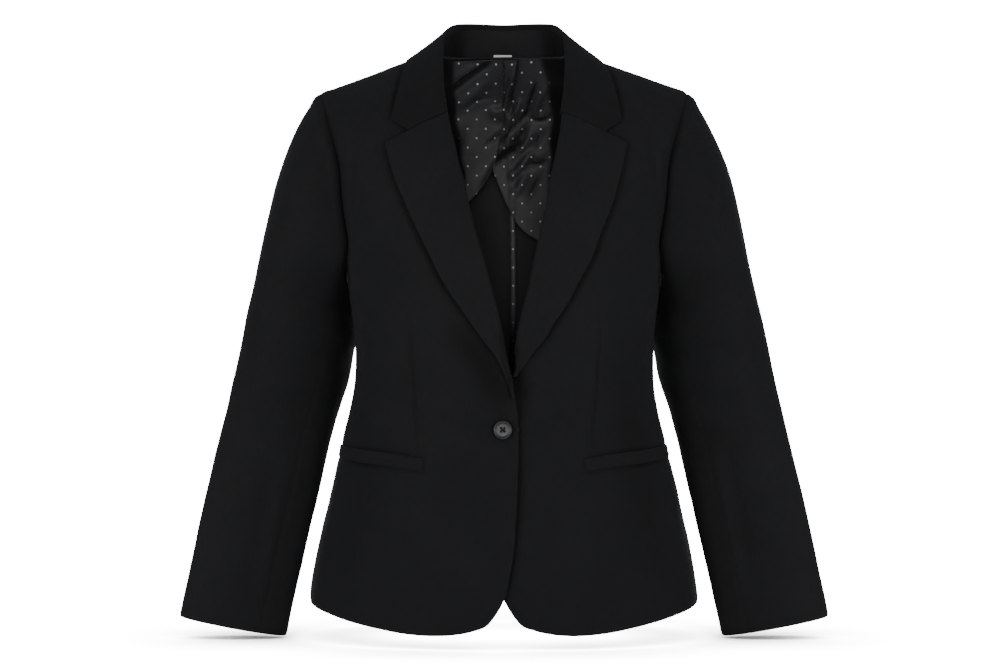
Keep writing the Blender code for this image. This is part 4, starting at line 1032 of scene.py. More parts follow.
def build_sleeves():
    pieces = {}
    tube, turns, front_seam, back_seam, start_normal = sleeve_tube()
    core = np.repeat(tube.mean(axis=1, keepdims=True), tube.shape[1], axis=1)
    normal = normals_of(tube, core)
    normal[:, 0] = normal[:, -1] = unit(normal[:, 0] + normal[:, -1])
    meets = np.sum(normal[0] * start_normal, axis=1) > FOLDED
    blend = (1 - ease(np.arange(len(tube)), 0, 4))[:, None, None] * meets[None, :, None]
    normal = unit(normal * (1 - blend) + start_normal[None] * blend)
    away = edge_distances(tube)
    start = tube[0]
    for side in SIDES:
        seam_lift = folds_on_body(start, "side", side) + seam_line(np.zeros(len(start)))
        sewn = start + start_normal * seam_lift[:, None]
        lift = sleeve_fold_lift(tube, side) * ease(away["bottom"], 0, 30) + crown(tube, turns)
        lift += edge_roll(away["top"], 0.7, 2.5)
        girth = away["inner"]
        for seam in (front_seam, back_seam):
            lift += 0.4 * seam_line(np.abs(girth - girth[:, seam : seam + 1])) * ease(-tube[..., 2], 300, 420)
        points = tube + normal * lift[..., None]
        settle = (1 - ease(np.arange(len(tube)), 0, 8))[:, None, None]
        points = points + (sewn - points[0])[None] * settle
        allowance = sewn - start_normal * 3.2
        points = mirrored(np.concatenate([allowance[None], points]), side)
        facing = mirrored(np.concatenate([normal[:1], normal]), side)
        upper = list(range(back_seam, tube.shape[1] - 1)) + list(range(front_seam + 1))
        for label, columns in (("upper", upper), ("under", list(range(front_seam, back_seam + 1)))):
            name = f"sleeve_{label}_{side_name(side)}_cloth"
            outer, out = refined(points[:, columns], facing[:, columns])
            outer = pulled_in(outer, ("inner", "outer"))
            wear_and_painted_shade = near_edges(edge_distances(outer), ALL_EDGES, 1.6)
            level = np.clip(outer[..., 2], SLEEVE[-1][0], SLEEVE[0][0])
            far, near = (read(SLEEVE, SLEEVE_COLUMNS, edge, level) for edge in ("outer", "inner"))
            outward = (np.abs(outer[..., 0]) - (far + near) / 2) / (far - near)
            # painted light on the outside of the lower sleeve
            painted_light = SLEEVE_PAINTED_LIGHT * ease(-level, 300, 500) * ease(outward, 0.0, 0.42)
            pieces[name] = cloth_behind(name, outer, out, CLOTH, wear_and_painted_shade, (painted_light, 0.0))
    return pieces


# ---- lapels --------------------------------------------------------------------------------------
def lapel_face(side):
    """The lapel from inside its roll, round the turn and out to its edge."""
    edge = lapel_edge(side)
    toe = edge[0][0]
    heights = [toe] + [r[0] for r in roll_line(side) if r[0] > toe + 3]
    inner = along([(front_edge(side, h), h) for h in heights], LAPEL_ROWS)
    outer = along([(r[1], r[0]) for r in edge], LAPEL_ROWS)
    share = np.linspace(0, 1, COLUMNS["lapel"] + 1)[None, :, None]
    flat = inner[:, None] + (outer - inner)[:, None] * share
    width = np.linalg.norm(outer - inner, axis=1)[:, None]
    swell = LAPEL["rise"] * np.sin(np.pi * np.clip(share[..., 0] / 0.85, 0, 1)) ** 2
    rise = LAY_GAP + LAPEL["thick"] + (swell + LAPEL["stand_off"]) * ease(width, 8, 45)
    face = moved_out(flat[..., 0], flat[..., 1], "front", rise, side)
    turn_size = (LAY_GAP + LAPEL["thick"] + CLOTH) / 2 + 0.6
    angle = angle_of(inner[:, 0], inner[:, 1])
    out = body_normal(angle, inner[:, 1])
    into = unit(face[:, 6] - face[:, 0])
    centre = face[:, 0] - out * turn_size + into * turn_size
    bend = [centre - out * turn_size + into * LAPEL["wrap"] * (1 - t) for t in np.linspace(0, 1, 5)[:-1]]
    for a in np.linspace(-90, 78, 9):
        turned = math.radians(a)
        bend.append(centre - into * turn_size * math.cos(turned) + out * turn_size * math.sin(turned))
    joined = 5  # columns over which the face is drawn towards the turn
    head = np.stack(bend, axis=1)
    blend = np.linspace(0, 1, joined + 2)[None, 1:-1, None]
    face[:, 1 : joined + 1] += (head[:, -1:] - face[:, :1]) * (1 - blend) * 0.5
    return np.concatenate([head, face[:, 2:]], axis=1)


def build_lapels():
    pieces = {}
    for side in SIDES:
        grid = lapel_face(side)
        normal = normals_of(grid, grid * [0.3, 0, 1])
        edges = edge_distances(grid)
        lift = uneven(mirrored(grid, side)) * 0.5 * ease(edges["inner"], 10, 26)
        lift += edge_roll(edges["outer"], 0.5, 2.0) + seam_line(edges["top"]) * 0.8
        outer, out = refined(mirrored(grid + normal * lift[..., None], side), mirrored(normal, side))
        outer = pulled_in(outer, ("top",))
        wear_and_painted_shade = near_edges(edge_distances(outer), ("outer",), 1.8)
        name = f"lapel_{side_name(side)}_cloth"
        pieces[name] = cloth_behind(name, outer, out, LAPEL["thick"], wear_and_painted_shade)
    return pieces


# ---- collar --------------------------------------------------------------------------------------
def both_ways(right, left):
    """A line round the neck, from its right half turned over and its left half back to front."""
    return np.concatenate([np.array(right, float) * [-1, 1, 1], np.array(left, float)[::-1][1:]])


def finer(points, count):
    """A smooth line through points, with count steps in each of its parts."""
    at = np.linspace(0, len(points) - 1, (len(points) - 1) * count + 1)
    marks = np.arange(len(points))
    return np.stack([smooth(at, marks, points[:, k]) for k in range(points.shape[1])], axis=1)


def collar_frames():
    """Fold points, the neck seam, and the directions up the stand and out from the neck at each."""
    front = neck_line(FRONT_NECK, 5)
    back = neck_line(BACK_NECK, 5)[::-1]
    half = np.concatenate([line_on_body(front), line_on_body(back[1:], "back")])
    fold, seam = finer(both_ways(FOLD, FOLD), FINE), finer(both_ways(half, half), FINE)
    run = unit(np.gradient(fold, axis=0))
    out = unit(np.cross(fold - seam, run))
    out *= np.sign(np.sum(out * (fold * [1, 1, 0]), axis=1))[:, None]
    up = unit(np.cross(run, out))
    up *= np.sign(np.sum(up * (fold - seam), axis=1))[:, None]
    return fold, seam, up, out


def stand_lines():
    """The stand's lower and upper lines, and the direction out from the neck at each place."""
    fold, seam, up, out = collar_frames()
    return seam + unit(fold - seam) * STAND["above_seam"], fold - up * STAND["below_fold"], out


def gorge_places(side, count):
    """Where the fall meets the lapel, from the roll out to the notch."""
    roll, tip = roll_line(side)[-1], lapel_edge(side)[-1]
    across = np.linspace(roll[1] + FALL["turn"], NOTCH[side_name(side)], count)
    slope = (tip[0] - roll[0]) / (tip[1] - roll[1])
    height = roll[0] + slope * (across - roll[1]) + GORGE["above"]
    arch = GORGE["arch"] * np.sin(np.linspace(0, np.pi, count))
    rise = LAY_GAP + LAPEL["thick"] + LAPEL["stand_off"] + arch
    return mirrored(moved_out(across, height, "front", rise, side), side)


def fall_face():
    """The fall, from its turn over the stand to its outer edge."""
    fold, _, up, out = collar_frames()
    right, left = (
        [moved_out(row[k], row[2], row[3], LAY_GAP + FALL["thick"], -1) for row in FALL_EDGE] for k in (0, 1)
    )
    end = finer(both_ways(right, left), FINE)
    swell = np.array([[row[4]] for row in FALL_EDGE])
    swell = finer(np.concatenate([swell, swell[::-1][1:]]), FINE)
    start = fold + out * FALL["turn"] - up * 0.3
    bulge = unit(np.cross(end - start, np.gradient(fold, axis=0)))
    bulge *= np.sign(np.sum(bulge * (out + up), axis=1))[:, None]
    middle = (start + end) / 2 + bulge * swell
    t = np.linspace(0, 1, COLUMNS["fall"])[None, :, None]
    grid = (1 - t) ** 2 * start[:, None] + 2 * t * (1 - t) * middle[:, None] + t * t * end[:, None]
    reach = 2.2 * FINE  # the gorge's own line is reached over this many rows
    for first, step, side in ((0, 1, -1), (len(grid) - 1, -1, 1)):
        line = gorge_places(side, grid.shape[1] - 1)
        move = np.concatenate([line, grid[first, -1:]]) - grid[first]
        for k in range(int(reach)):
            grid[first + step * k] += move * (1 - k / reach) ** 1.6
    wrap = np.stack([fold + up * rise + out * proud for rise, proud in FALL_TURN], axis=1)
    return np.concatenate([wrap, grid], axis=1)


def blurred(field, times):
    for _ in range(times):
        wide = np.pad(field, 1, mode="edge")
        field = (wide[:-2, 1:-1] + wide[2:, 1:-1] + wide[1:-1, :-2] + wide[1:-1, 2:] + 2 * field) / 6
    return field


def cleared(grid, facing, faces, gap, thick):
    """How far a grid must move out to clear the faces under it by a gap."""
    reach = 14.0
    short = np.zeros(grid.shape[:2])
    for place in np.ndindex(short.shape):
        start, back = Vector(grid[place] + facing[place] * reach), Vector(-facing[place])
        distance = faces.ray_cast(start, back, 2 * reach)[3]
        if distance is not None:
            short[place] = max(0.0, gap + thick + reach - distance)
    wide = short
    for _ in range(3):
        rim = np.pad(wide, 1, mode="edge")
        wide = np.maximum.reduce([rim[:-2, 1:-1], rim[2:, 1:-1], rim[1:-1, :-2], rim[1:-1, 2:], wide])
    return np.maximum(blurred(wide, 8), short)


def build_stand():
    """The stand; its middle is painted lighter in its wrong side's colour, as painted light, and its ends and
    edges are painted in shade.
    """
    base, top, out = (line[4:-4] for line in stand_lines())
    share = np.linspace(0, 1, STAND["rows"] * FINE + 1)[:, None, None]
    face = base + (top - base) * share
    across = np.abs(face[..., 0])
    shade = STAND_PAINTED_SHADE["ends"] * ease(across, 40, 62)
    shade += STAND_PAINTED_SHADE["edges"] * near_edges(edge_distances(face), ("top", "bottom"), 1.2)
    middle = STAND_PAINTED_SHADE["painted_light_middle"] * (1 - ease(across, 34, 50))
    outer = face + np.broadcast_to(out, face.shape) * STAND["thick"]
    return cloth_wall("collar_stand_cloth", outer, face, cloth_uv(face), -shade, (0.0, middle))


def build_fall(panels):
    """The fall, raised clear of the fronts and backs that it lies on."""
    grid = fall_face()
    normal = normals_of(grid, grid * [0.7, 0.7, 1] - [0, 0, 45])
    past_turn, free = len(FALL_TURN), 2 * len(FALL_TURN)
    for row in (*range(0, 3), *range(-3, 0)):
        across, height = np.abs(grid[row, past_turn:, 0]), grid[row, past_turn:, 2]
        square = body_normal(angle_of(across, height), height)
        normal[row, past_turn:] = mirrored(square, np.sign(grid[row, -1, 0]))
    near = [panels[f"{label}_{side_name(side)}_cloth"] for label in ("front", "back") for side in SIDES]
    lift = cleared(grid[:, free:], normal[:, free:], search_tree(near), LAY_GAP, FALL["thick"])
    lift = np.concatenate([lift[:, :1] * np.linspace(0, 1, free)[None], lift], axis=1)
    edges = edge_distances(grid)
    lift += uneven(grid) * FALL["uneven"] * ease(edges["inner"], 10, 26) + edge_roll(edges["outer"], 0.5, 2.0)
    outer, facing = refined(grid + normal * lift[..., None], normal)
    # painted shade dulls the whole fall
    wear_and_painted_shade = near_edges(edge_distances(outer), ("outer", "bottom", "top"), 1.8) - 2.2
    return cloth_behind("collar_fall_cloth", outer, facing, FALL["thick"], wear_and_painted_shade)


# ---- pockets -------------------------------------------------------------------------------------
def build_welts(panels):
    pieces = {}
    angle = np.linspace(angle_of(*WELT_TOP[0]), WELT["end_angle"], WELT["columns"] * FINE + 1)
    across = across_of(angle, WELT_TOP[0][1])
    top = read(WELT_TOP, WELT_COLUMNS, "height", across, key="across")
    height = top[None] - np.linspace(WELT["height"], 0, WELT["rows"] * FINE + 1)[:, None]
    angle = np.broadcast_to(angle, height.shape)
    place, square = body_place(angle, height), body_normal(angle, height)
    for side in SIDES:
        base, facing = refined(mirrored(place, side), mirrored(square, side))
        faces = search_tree([panels[f"front_{side_name(side)}_cloth"]])
        lift = cleared(base, facing, faces, WELT["gap"], WELT["thick"])
        edges = edge_distances(base)
        sewn = np.minimum.reduce([edges["bottom"], edges["inner"], edges["outer"]])
        top_roll = edge_roll(edges["top"], *WELT_ROLLS["top"])
        lift += WELT["crown"] * ease(sewn, 0, 3) + top_roll + edge_roll(sewn, *WELT_ROLLS["sewn"])
        lift += edge_roll(edges["inner"], *WELT_ROLLS["inner"])
        name = f"pocket_welt_{side_name(side)}_cloth"
        wear_and_painted_shade = near_edges(edges, ("top",), 1.5)
        pieces[name] = cloth_behind(name, base + facing * lift[..., None], facing, WELT["thick"], wear_and_painted_shade)
    return pieces


# ---- lining, tape and label ----------------------------------------------------------------------
def inside_back(faces, across, height, distances, side):
    """Grids of places on the backs' inner faces, one moved in by each of the distances."""
    reach = 25.0
    angle = 180 - angle_of(across, height)
    normal = mirrored(body_normal(angle, height), side)
    places = mirrored(body_place(angle, height), side) - normal * CLOTH
    for place in np.ndindex(across.shape):
        start, out = Vector(places[place] - normal[place] * reach), Vector(normal[place])
        hit = faces.ray_cast(start, out, 2 * reach)[0]
        if hit is not None:
            places[place] = hit
    return [places - normal * distance[..., None] for distance in distances]


def build_lining(faces, side):
    """Half of the back lining, its creases pressed in, with painted shade on its far parts and in its
    creases.
    """
    rows, columns = ROWS["lining"], COLUMNS["lining"]
    down = np.linspace(0, 1, rows + 1)[:, None, None]
    top, foot = along(LINING_TOP, columns), along(lining_edge(side), columns)
    shares = np.broadcast_to(down, (rows + 1, columns + 1, 1)), np.linspace(1, 0, columns + 1)[None, :, None]
    flat = resampled(top[None] + (foot - top)[None] * down)
    share, inward = resampled(np.concatenate(np.broadcast_arrays(*shares), axis=-1)).transpose(2, 0, 1)
    seam, hang = LINING_HANG[side_name(side)]
    clear = seam + (hang - seam) * np.sin(share * np.pi / 2) * ease(inward, 0, 0.35)
    lift = 0.0
    for width, height, path in LINING_FOLDS[side_name(side)]:
        gain = LINING_FOLD_GAIN["ridge" if height > 0 else "trough"]
        lift = lift + fold_height(flat, path, LINING_FOLD_GAIN["width"] * width, gain * height)
    clear = clear + np.maximum(lift * ease(share, 0, 0.05), -0.8 * clear + 0.1)
    # painted shade past the lit side and in the deeper troughs
    rim = np.interp(-flat[..., 1], LINING_LIT_LEVELS, LINING_SHADE_FROM[side_name(side)])
    painted_shade = ease(flat[..., 0] - rim + 1.2 * np.sin(flat[..., 1] / 7.0), -3.0, 3.0)
    painted_shade = np.maximum(painted_shade, 0.94 * ease(-lift, 0.7, 2.6))
    near, far = inside_back(faces, flat[..., 0], flat[..., 1], (clear + LINING, clear), side)
    wear_and_painted_shade = near_edges(edge_distances(near), ("top", "inner"), 1.2)
    name = f"back_lining_{side_name(side)}_cloth"
    return cloth_wall(name, near, far, flat * [side, 1], wear_and_painted_shade, (painted_shade, painted_shade))


def build_binding(faces):
    """The tape over the centre-back seam, arched a little across."""
    height = np.linspace(BINDING["top"], BINDING["bottom"], ROWS["binding"] + 1)[:, None]
    centre = read(CENTRE_BACK, CENTRE_BACK_COLUMNS, "across", height)
    across = centre + np.linspace(-0.5, 0.5, BINDING["columns"])[None] * BINDING["width"]
    height = np.broadcast_to(height, across.shape)
    arch = BINDING["arch"] * (1 - (np.linspace(-1, 1, BINDING["columns"])[None] ** 2)) * np.ones_like(across)
    near, far = inside_back(faces, across, height, (LAY_GAP + BINDING["thick"] + arch, LAY_GAP + arch), 1)
    # painted shade on the tape's lower part
    painted_shade = BINDING_PAINTED_SHADE["most"] * ease(-height, BINDING_PAINTED_SHADE["from"], BINDING_PAINTED_SHADE["to"])
    uv = np.stack([across, height], axis=-1)
    return cloth_wall("seam_binding_cloth", near, far, uv, np.zeros(across.shape), (painted_shade, painted_shade))


def build_label():
    """A blank label on the stand at the centre back, bent with the stand."""
    base, top, _ = stand_lines()
    middle = len(base) // 2
    part = slice(middle - 3 * FINE, middle + 3 * FINE + 1)
    x = LABEL["across"] + np.linspace(-0.5, 0.5, LABEL["columns"]) * LABEL["width"]
    low, high = (
        np.stack([np.interp(x, line[part, 0], line[part, k]) for k in range(3)], axis=1)
        for line in (base, top)
    )
    rise = np.linspace(0, 1, LABEL["rows"])[:, None, None]
    back = low + unit(high - low) * (LABEL["rise"] + rise * LABEL["height"])
    back = back - (LABEL["off_stand"] + LABEL["curl"] * rise**2) * [0, 1, 0]
    face = back - [0, LABEL["thick"], 0]
    return cloth_wall("neck_label_cloth", face, back, cloth_uv(face), np.zeros(face.shape[:2]))


# ---- button --------------------------------------------------------------------------------------
def button_seat():
    return moved_out(-BUTTON["across"], BUTTON["height"], "front", BUTTON["shank"], -1) * [-1, 1, 1]


def circle(sides):
    """The cosine and sine of evenly spaced places round a circle."""
    return [(math.cos(math.tau * k / sides), math.sin(math.tau * k / sides)) for k in range(sides)]


def banded(rings, sides):
    """Faces between rings of points that follow one another."""
    return [
        (i * sides + k, i * sides + (k + 1) % sides, (i + 1) * sides + (k + 1) % sides, (i + 1) * sides + k)
        for i in range(rings - 1)
        for k in range(sides)
    ]


def plain_mesh(piece):
    """Turns a piece's live modifiers into its own mesh."""
    made = bpy.data.meshes.new_from_object(piece.evaluated_get(bpy.context.evaluated_depsgraph_get()))
    piece.modifiers.clear()
    piece.data = made
    made.shade_smooth()


def hole_places():
    """The middles of the button's four holes, across and up from its own middle."""
    reach = BUTTON["hole_ring"]
    return [(reach * math.cos(math.tau * (k + 0.5) / 4), reach * math.sin(math.tau * (k + 0.5) / 4))
            for k in range(4)]


def build_button():
    """The button with its rim, dished middle and four holes, cut out of one turned form."""
    seat, sides = button_seat(), 96
    thick, radius = BUTTON["thick"], BUTTON["radius"]
    points = [
        (seat[0] + radius * r * c, seat[1] - thick * out, seat[2] + radius * r * s)
        for r, out in BUTTON_PROFILE
        for c, s in circle(sides)
    ]
    faces = banded(len(BUTTON_PROFILE), sides)
    points += [tuple(seat), (seat[0], seat[1] - thick * BUTTON["dish"], seat[2])]
    low, high, last = len(points) - 2, len(points) - 1, (len(BUTTON_PROFILE) - 1) * sides
    for k in range(sides):
        n = (k + 1) % sides
        faces += [(low, n, k), (high, last + k, last + n)]
    points = np.array(points)
    piece = add_mesh("front_button", points, faces, flip=inside_out(points, faces))
    cutters = []
    for x, z in hole_places():
        bpy.ops.mesh.primitive_cylinder_add(
            vertices=24, radius=BUTTON["hole"] * MM, depth=12 * MM, rotation=(math.pi / 2, 0, 0),
            location=((seat[0] + x) * MM, (seat[1] - 2) * MM, (seat[2] + z) * MM),
        )
        cutters.append(bpy.context.active_object)
        cut = piece.modifiers.new("hole", "BOOLEAN")
        cut.operation, cut.object, cut.solver = "DIFFERENCE", cutters[-1], "EXACT"
    plain_mesh(piece)
    piece.data.set_sharp_from_angle(angle=math.radians(38))
    for cutter in cutters:
        bpy.data.objects.remove(cutter, do_unlink=True)
    return piece


def add_thread(points, faces, path, radius, sides):
    """Adds a round thread along a path, closed at both ends, to a mesh's points and faces."""
    path = np.asarray(path, float)
    run = unit(np.gradient(path, axis=0))
    across = unit(np.cross(run, [0.02, 1.0, 0.03]))
    lift = unit(np.cross(across, run))
    start = len(points)
    points += [p + radius * (a * c + b * s) for p, a, b in zip(path, across, lift) for c, s in circle(sides)]
    ends = [tuple(range(sides))[::-1], tuple(range((len(path) - 1) * sides, len(path) * sides))]
    faces += [tuple(v + start for v in face) for face in banded(len(path), sides) + ends]


def build_button_thread():
    """The crossed thread in the button's holes, and its shank behind."""
    seat, holes = button_seat(), hole_places()
    top = seat[1] - BUTTON["thick"] * BUTTON["dish"]
    points, faces = [], []
    for first, second, rise in ((0, 2, 0.55), (1, 3, 0.95)):
        for shift in (-0.38, 0.38):
            start, end = (np.array([holes[k][0], 0, holes[k][1]]) for k in (first, second))
            run = unit(end - start)
            sideways = np.array([-run[2], 0, run[0]]) * shift
            path = []
            for t in np.linspace(0, 1, 17):
                p = start + (end - start) * t + sideways
                bow = math.sin(math.pi * t) ** 0.5
                path.append([seat[0] + p[0], top + 0.8 - (0.8 + rise) * bow, seat[2] + p[2]])
            add_thread(points, faces, path, 0.55, 10)
    shank = [[seat[0], seat[1] + depth, seat[2]] for depth in np.linspace(-0.6, BUTTON["shank"] + 0.2, 5)]
    add_thread(points, faces, shank, 1.6, 20)
    return add_mesh("button_thread", np.array(points), faces)


# ---- nodes ---------------------------------------------------------------------------------------
def feed(tree, socket, value):
    """Gives an input a number or a colour, or joins it to another node's output."""
    if isinstance(value, bpy.types.NodeSocket):
        tree.links.new(value, socket)
    else:
        socket.default_value = value


def new_node(tree, kind, inputs=None, **settings):
    """A node with its settings made and then its inputs fed; returns its outputs."""
    step = tree.nodes.new(kind)
    for label, value in settings.items():
        setattr(step, label, value)
    for label, value in (inputs or {}).items():
        feed(tree, step.inputs[label], value)
    return step.outputs


def new_group(kind, name, inputs, outputs):
    """A node group. An input is named with its number or else its kind, an output with its kind."""
    tree = bpy.data.node_groups.new(name, kind)
    for label, value in inputs.items():
        sort = value if isinstance(value, str) else "Float"
        socket = tree.interface.new_socket(name=label, in_out="INPUT", socket_type=f"NodeSocket{sort}")
        if sort == "Float":
            socket.default_value = value
    for label, sort in outputs.items():
        tree.interface.new_socket(name=label, in_out="OUTPUT", socket_type=f"NodeSocket{sort}")
    return tree, tree.nodes.new("NodeGroupInput").outputs, tree.nodes.new("NodeGroupOutput").inputs


def maths(tree, operation, *values):
    """A Math node whose inputs are sockets or numbers."""
    step = tree.nodes.new("ShaderNodeMath")
    step.operation = operation
    for socket, value in zip(step.inputs, values):
        feed(tree, socket, value)
    return step.outputs["Value"]


def summed(tree, start, *parts):
    """A number or a socket, plus other sockets, each times its own factor."""
    for socket, factor in parts:
        start = maths(tree, "MULTIPLY_ADD", socket, factor, start)
    return start


def blended(tree, share, low, high):
    """A colour between two, each a plain colour or a socket."""
    low, high = ((*tone, 1) if isinstance(tone, tuple) else tone for tone in (low, high))
    return new_node(tree, "ShaderNodeMix", {"Factor": share, "A": low, "B": high}, data_type="RGBA")["Result"]


# ---- stitches by geometry nodes ------------------------------------------------------------------
def stitch_tree():
    """A tree that lays one stitch after another along a path."""
    tree, given, result = new_group(
        "GeometryNodeTree",
        "stitches along a path",
        {"Path": "Geometry", "Spacing": 0.001, "Stitch Length": 0.0012, "Stitch Width": 0.0003, "Turn": 0.0,
         "Thread": "Material"},
        {"Stitches": "Geometry"},
    )
    curve = new_node(tree, "GeometryNodeMeshToCurve", {"Mesh": given["Path"]})["Curve"]
    even = new_node(
        tree, "GeometryNodeResampleCurve", {"Curve": curve, "Length": given["Spacing"]}, mode="LENGTH"
    )["Curve"]
    bead = new_node(tree, "GeometryNodeMeshUVSphere", {"Segments": 8, "Rings": 6, "Radius": 0.5})["Mesh"]
    size = new_node(
        tree,
        "ShaderNodeCombineXYZ",
        {"X": given["Stitch Length"], "Y": given["Stitch Width"], "Z": given["Stitch Width"]},
    )["Vector"]
    stitch = new_node(tree, "GeometryNodeTransform", {"Geometry": bead, "Scale": size})["Geometry"]
    tangent = new_node(tree, "GeometryNodeInputTangent")["Tangent"]
    ahead = new_node(tree, "FunctionNodeAlignRotationToVector", {"Vector": tangent}, axis="X")["Rotation"]
    uneven_turn = new_node(
        tree, "FunctionNodeRandomValue", {"Min": -0.12, "Max": 0.12, "Seed": 7}, data_type="FLOAT"
    )[1]
    angle = maths(tree, "ADD", given["Turn"], uneven_turn)
    turn = new_node(tree, "FunctionNodeAxisAngleToRotation", {"Axis": (0, 1, 0), "Angle": angle})["Rotation"]
    turned = new_node(
        tree, "FunctionNodeRotateRotation", {"Rotation": ahead, "Rotate By": turn}, rotation_space="LOCAL"
    )["Rotation"]
    row = new_node(
        tree, "GeometryNodeInstanceOnPoints", {"Points": even, "Instance": stitch, "Rotation": turned}
    )["Instances"]
    whole = new_node(tree, "GeometryNodeRealizeInstances", {"Geometry": row})["Geometry"]
    finish = new_node(tree, "GeometryNodeSetMaterial", {"Geometry": whole, "Material": given["Thread"]})
    feed(tree, result["Stitches"], finish["Geometry"])
    return tree


def stitched(name, tree, path, thread, sizes):
    """Plain mesh stitches laid along a path of points in millimetres."""
    mesh = bpy.data.meshes.new(name)
    mesh.from_pydata((np.asarray(path, float) * MM).tolist(), [(k, k + 1) for k in range(len(path) - 1)], [])
    piece = bpy.data.objects.new(name, mesh)
    bpy.context.scene.collection.objects.link(piece)
    laid = piece.modifiers.new("stitches", "NODES")
    laid.node_group = tree
    sockets = {item.name: item.identifier for item in tree.interface.items_tree if item.in_out == "INPUT"}
    for label, value in zip(STITCH_COLUMNS, sizes):
        laid[sockets[label]] = float(value)
    laid[sockets["Thread"]] = thread
    plain_mesh(piece)
    return piece


def laid_on(piece, places):
    """Points where lines straight ahead first meet a piece, moved out a little from its face."""
    tree, ahead = search_tree([piece]), np.array(AHEAD)
    hits = [tree.ray_cast(Vector(np.array(place) - ahead * 60), Vector(ahead), 120)[0] for place in places]
    return np.array([np.array(hit) - ahead * 0.05 for hit in hits if hit is not None])


def stitch_paths(pieces):
    """Every line of hand or machine stitches: name, path, thread, material slot and kind of stitch."""
    level = button_seat()[1]
    slit = [(x, level, BUTTON["height"]) for x in np.linspace(2, 14.2, 14)]
    yield "buttonhole_stitches", laid_on(pieces["front_right_cloth"], slit), "thread", "suiting", "buttonhole"
    bar = [(14.9, level, BUTTON["height"] + z) for z in np.linspace(-1.6, 1.6, 7)]
    yield "buttonhole_end", laid_on(pieces["front_right_cloth"], bar), "buttonhole_thread", "suiting", "tack"
    for side in SIDES:
        places = [(side * (x + 0.4), 60.0, z + 2.6) for x, z in along(lining_edge(side), 120)]
        path = laid_on(pieces[f"back_lining_{side_name(side)}_cloth"], places)
        yield f"lining_hem_{side_name(side)}", path, "thread", "lining", "hem"
    height = np.linspace(BINDING["top"] - 2, BINDING["bottom"] + 2, 150)
    middle = read(CENTRE_BACK, CENTRE_BACK_COLUMNS, "across", height)
    for side in SIDES:
        places = [(x + 2.3 * side, 60.0, z) for x, z in zip(middle, height)]
        path = laid_on(pieces["seam_binding_cloth"], places)
        yield f"tape_stitches_{side_name(side)}", path, "thread", "lining", "tape"


# ---- shared effects ------------------------------------------------------------------------------
def place_on_piece(tree):
    return new_node(tree, "ShaderNodeTexCoord")["Object"]


def place_on_cloth(tree):
    return new_node(tree, "ShaderNodeUVMap", uv_map="cloth")["UV"]


def kept_on_mesh(tree, name):
    """A value that a piece's mesh holds at each point."""
    return new_node(tree, "ShaderNodeAttribute", attribute_name=name)["Fac"]


def weave_group():
    """Over and under threads on the flat cloth: a height, and a shade that differs thread by thread."""
    tree, given, result = new_group(
        "ShaderNodeTree",
        "woven threads",
        {"Place": "Vector", "Threads per Metre": 1500.0, "Diagonal": 0.0},
        {"Height": "Float", "Shade": "Float"},
    )
    flat = new_node(tree, "ShaderNodeSeparateXYZ", {"Vector": given["Place"]})
    u, v = (maths(tree, "MULTIPLY", flat[axis], given["Threads per Metre"]) for axis in "XY")

    def ribs(run, pitch):
        return maths(tree, "ABSOLUTE", maths(tree, "SINE", maths(tree, "MULTIPLY", run, pitch)))

    over = maths(tree, "PINGPONG", maths(tree, "ADD", maths(tree, "FLOOR", u), maths(tree, "FLOOR", v)), 1.0)
    warp = maths(tree, "MULTIPLY", ribs(u, math.pi), over)
    weft = maths(tree, "MULTIPLY", ribs(v, math.pi), maths(tree, "SUBTRACT", 1.0, over))
    wale = ribs(maths(tree, "ADD", u, v), math.pi / 3)
    plain = maths(tree, "ADD", warp, weft)
    height = new_node(
        tree, "ShaderNodeMix", {"Factor": given["Diagonal"], "A": plain, "B": wale}, data_type="FLOAT"
    )
    feed(tree, result["Height"], height["Result"])
    across, along_thread = maths(tree, "MULTIPLY", u, 0.9), maths(tree, "MULTIPLY", v, 0.06)
    drawn = new_node(tree, "ShaderNodeCombineXYZ", {"X": across, "Y": along_thread})["Vector"]
    thread = new_node(tree, "ShaderNodeTexNoise", {"Vector": drawn, "Scale": 1.0, "Detail": 1.0})
    feed(tree, result["Shade"], thread["Fac"])
    return tree


def nap_group():
    """Slow and fine changes of shade over the surface, as brushed fibre and pressing leave."""
    tree, given, result = new_group(
        "ShaderNodeTree",
        "nap and pressing",
        {"Place": "Vector", "Cloud Size": 14.0, "Fibre Size": 900.0},
        {"Cloud": "Float", "Fibre": "Float"},
    )
    for label, detail in (("Cloud", 3.0), ("Fibre", 2.0)):
        noise = new_node(
            tree,
            "ShaderNodeTexNoise",
            {"Vector": given["Place"], "Scale": given[f"{label} Size"], "Detail": detail, "Roughness": 0.55},
        )
        feed(tree, result[label], noise["Fac"])
    return tree


def dots_group():
    """Round dots on the flat cloth, every other row set half a step along."""
    tree, given, result = new_group(
        "ShaderNodeTree",
        "small dots",
        {"Place": "Vector", "Pitch": 0.0215, "Dot Size": 0.0022, "Soft Edge": 0.00018},
        {"Mask": "Float"},
    )
    flat, pitch = new_node(tree, "ShaderNodeSeparateXYZ", {"Vector": given["Place"]}), given["Pitch"]
    radius = maths(tree, "MULTIPLY", given["Dot Size"], 0.5)
    masks = []
    for shift in (0.0, 0.5):
        squares = []
        for axis in "XY":
            cell = maths(tree, "ADD", maths(tree, "DIVIDE", flat[axis], pitch), shift)
            local = maths(tree, "SUBTRACT", cell, maths(tree, "ROUND", cell))
            offset = maths(tree, "MULTIPLY", local, pitch)
            squares.append(maths(tree, "MULTIPLY", offset, offset))
        away = maths(tree, "SQRT", maths(tree, "ADD", *squares))
        soft = maths(tree, "DIVIDE", maths(tree, "SUBTRACT", radius, away), given["Soft Edge"])
        step = maths(tree, "ADD", soft, 0.5)
        masks.append(maths(tree, "MINIMUM", maths(tree, "MAXIMUM", step, 0.0), 1.0))
    feed(tree, result["Mask"], maths(tree, "MAXIMUM", *masks))
    return tree


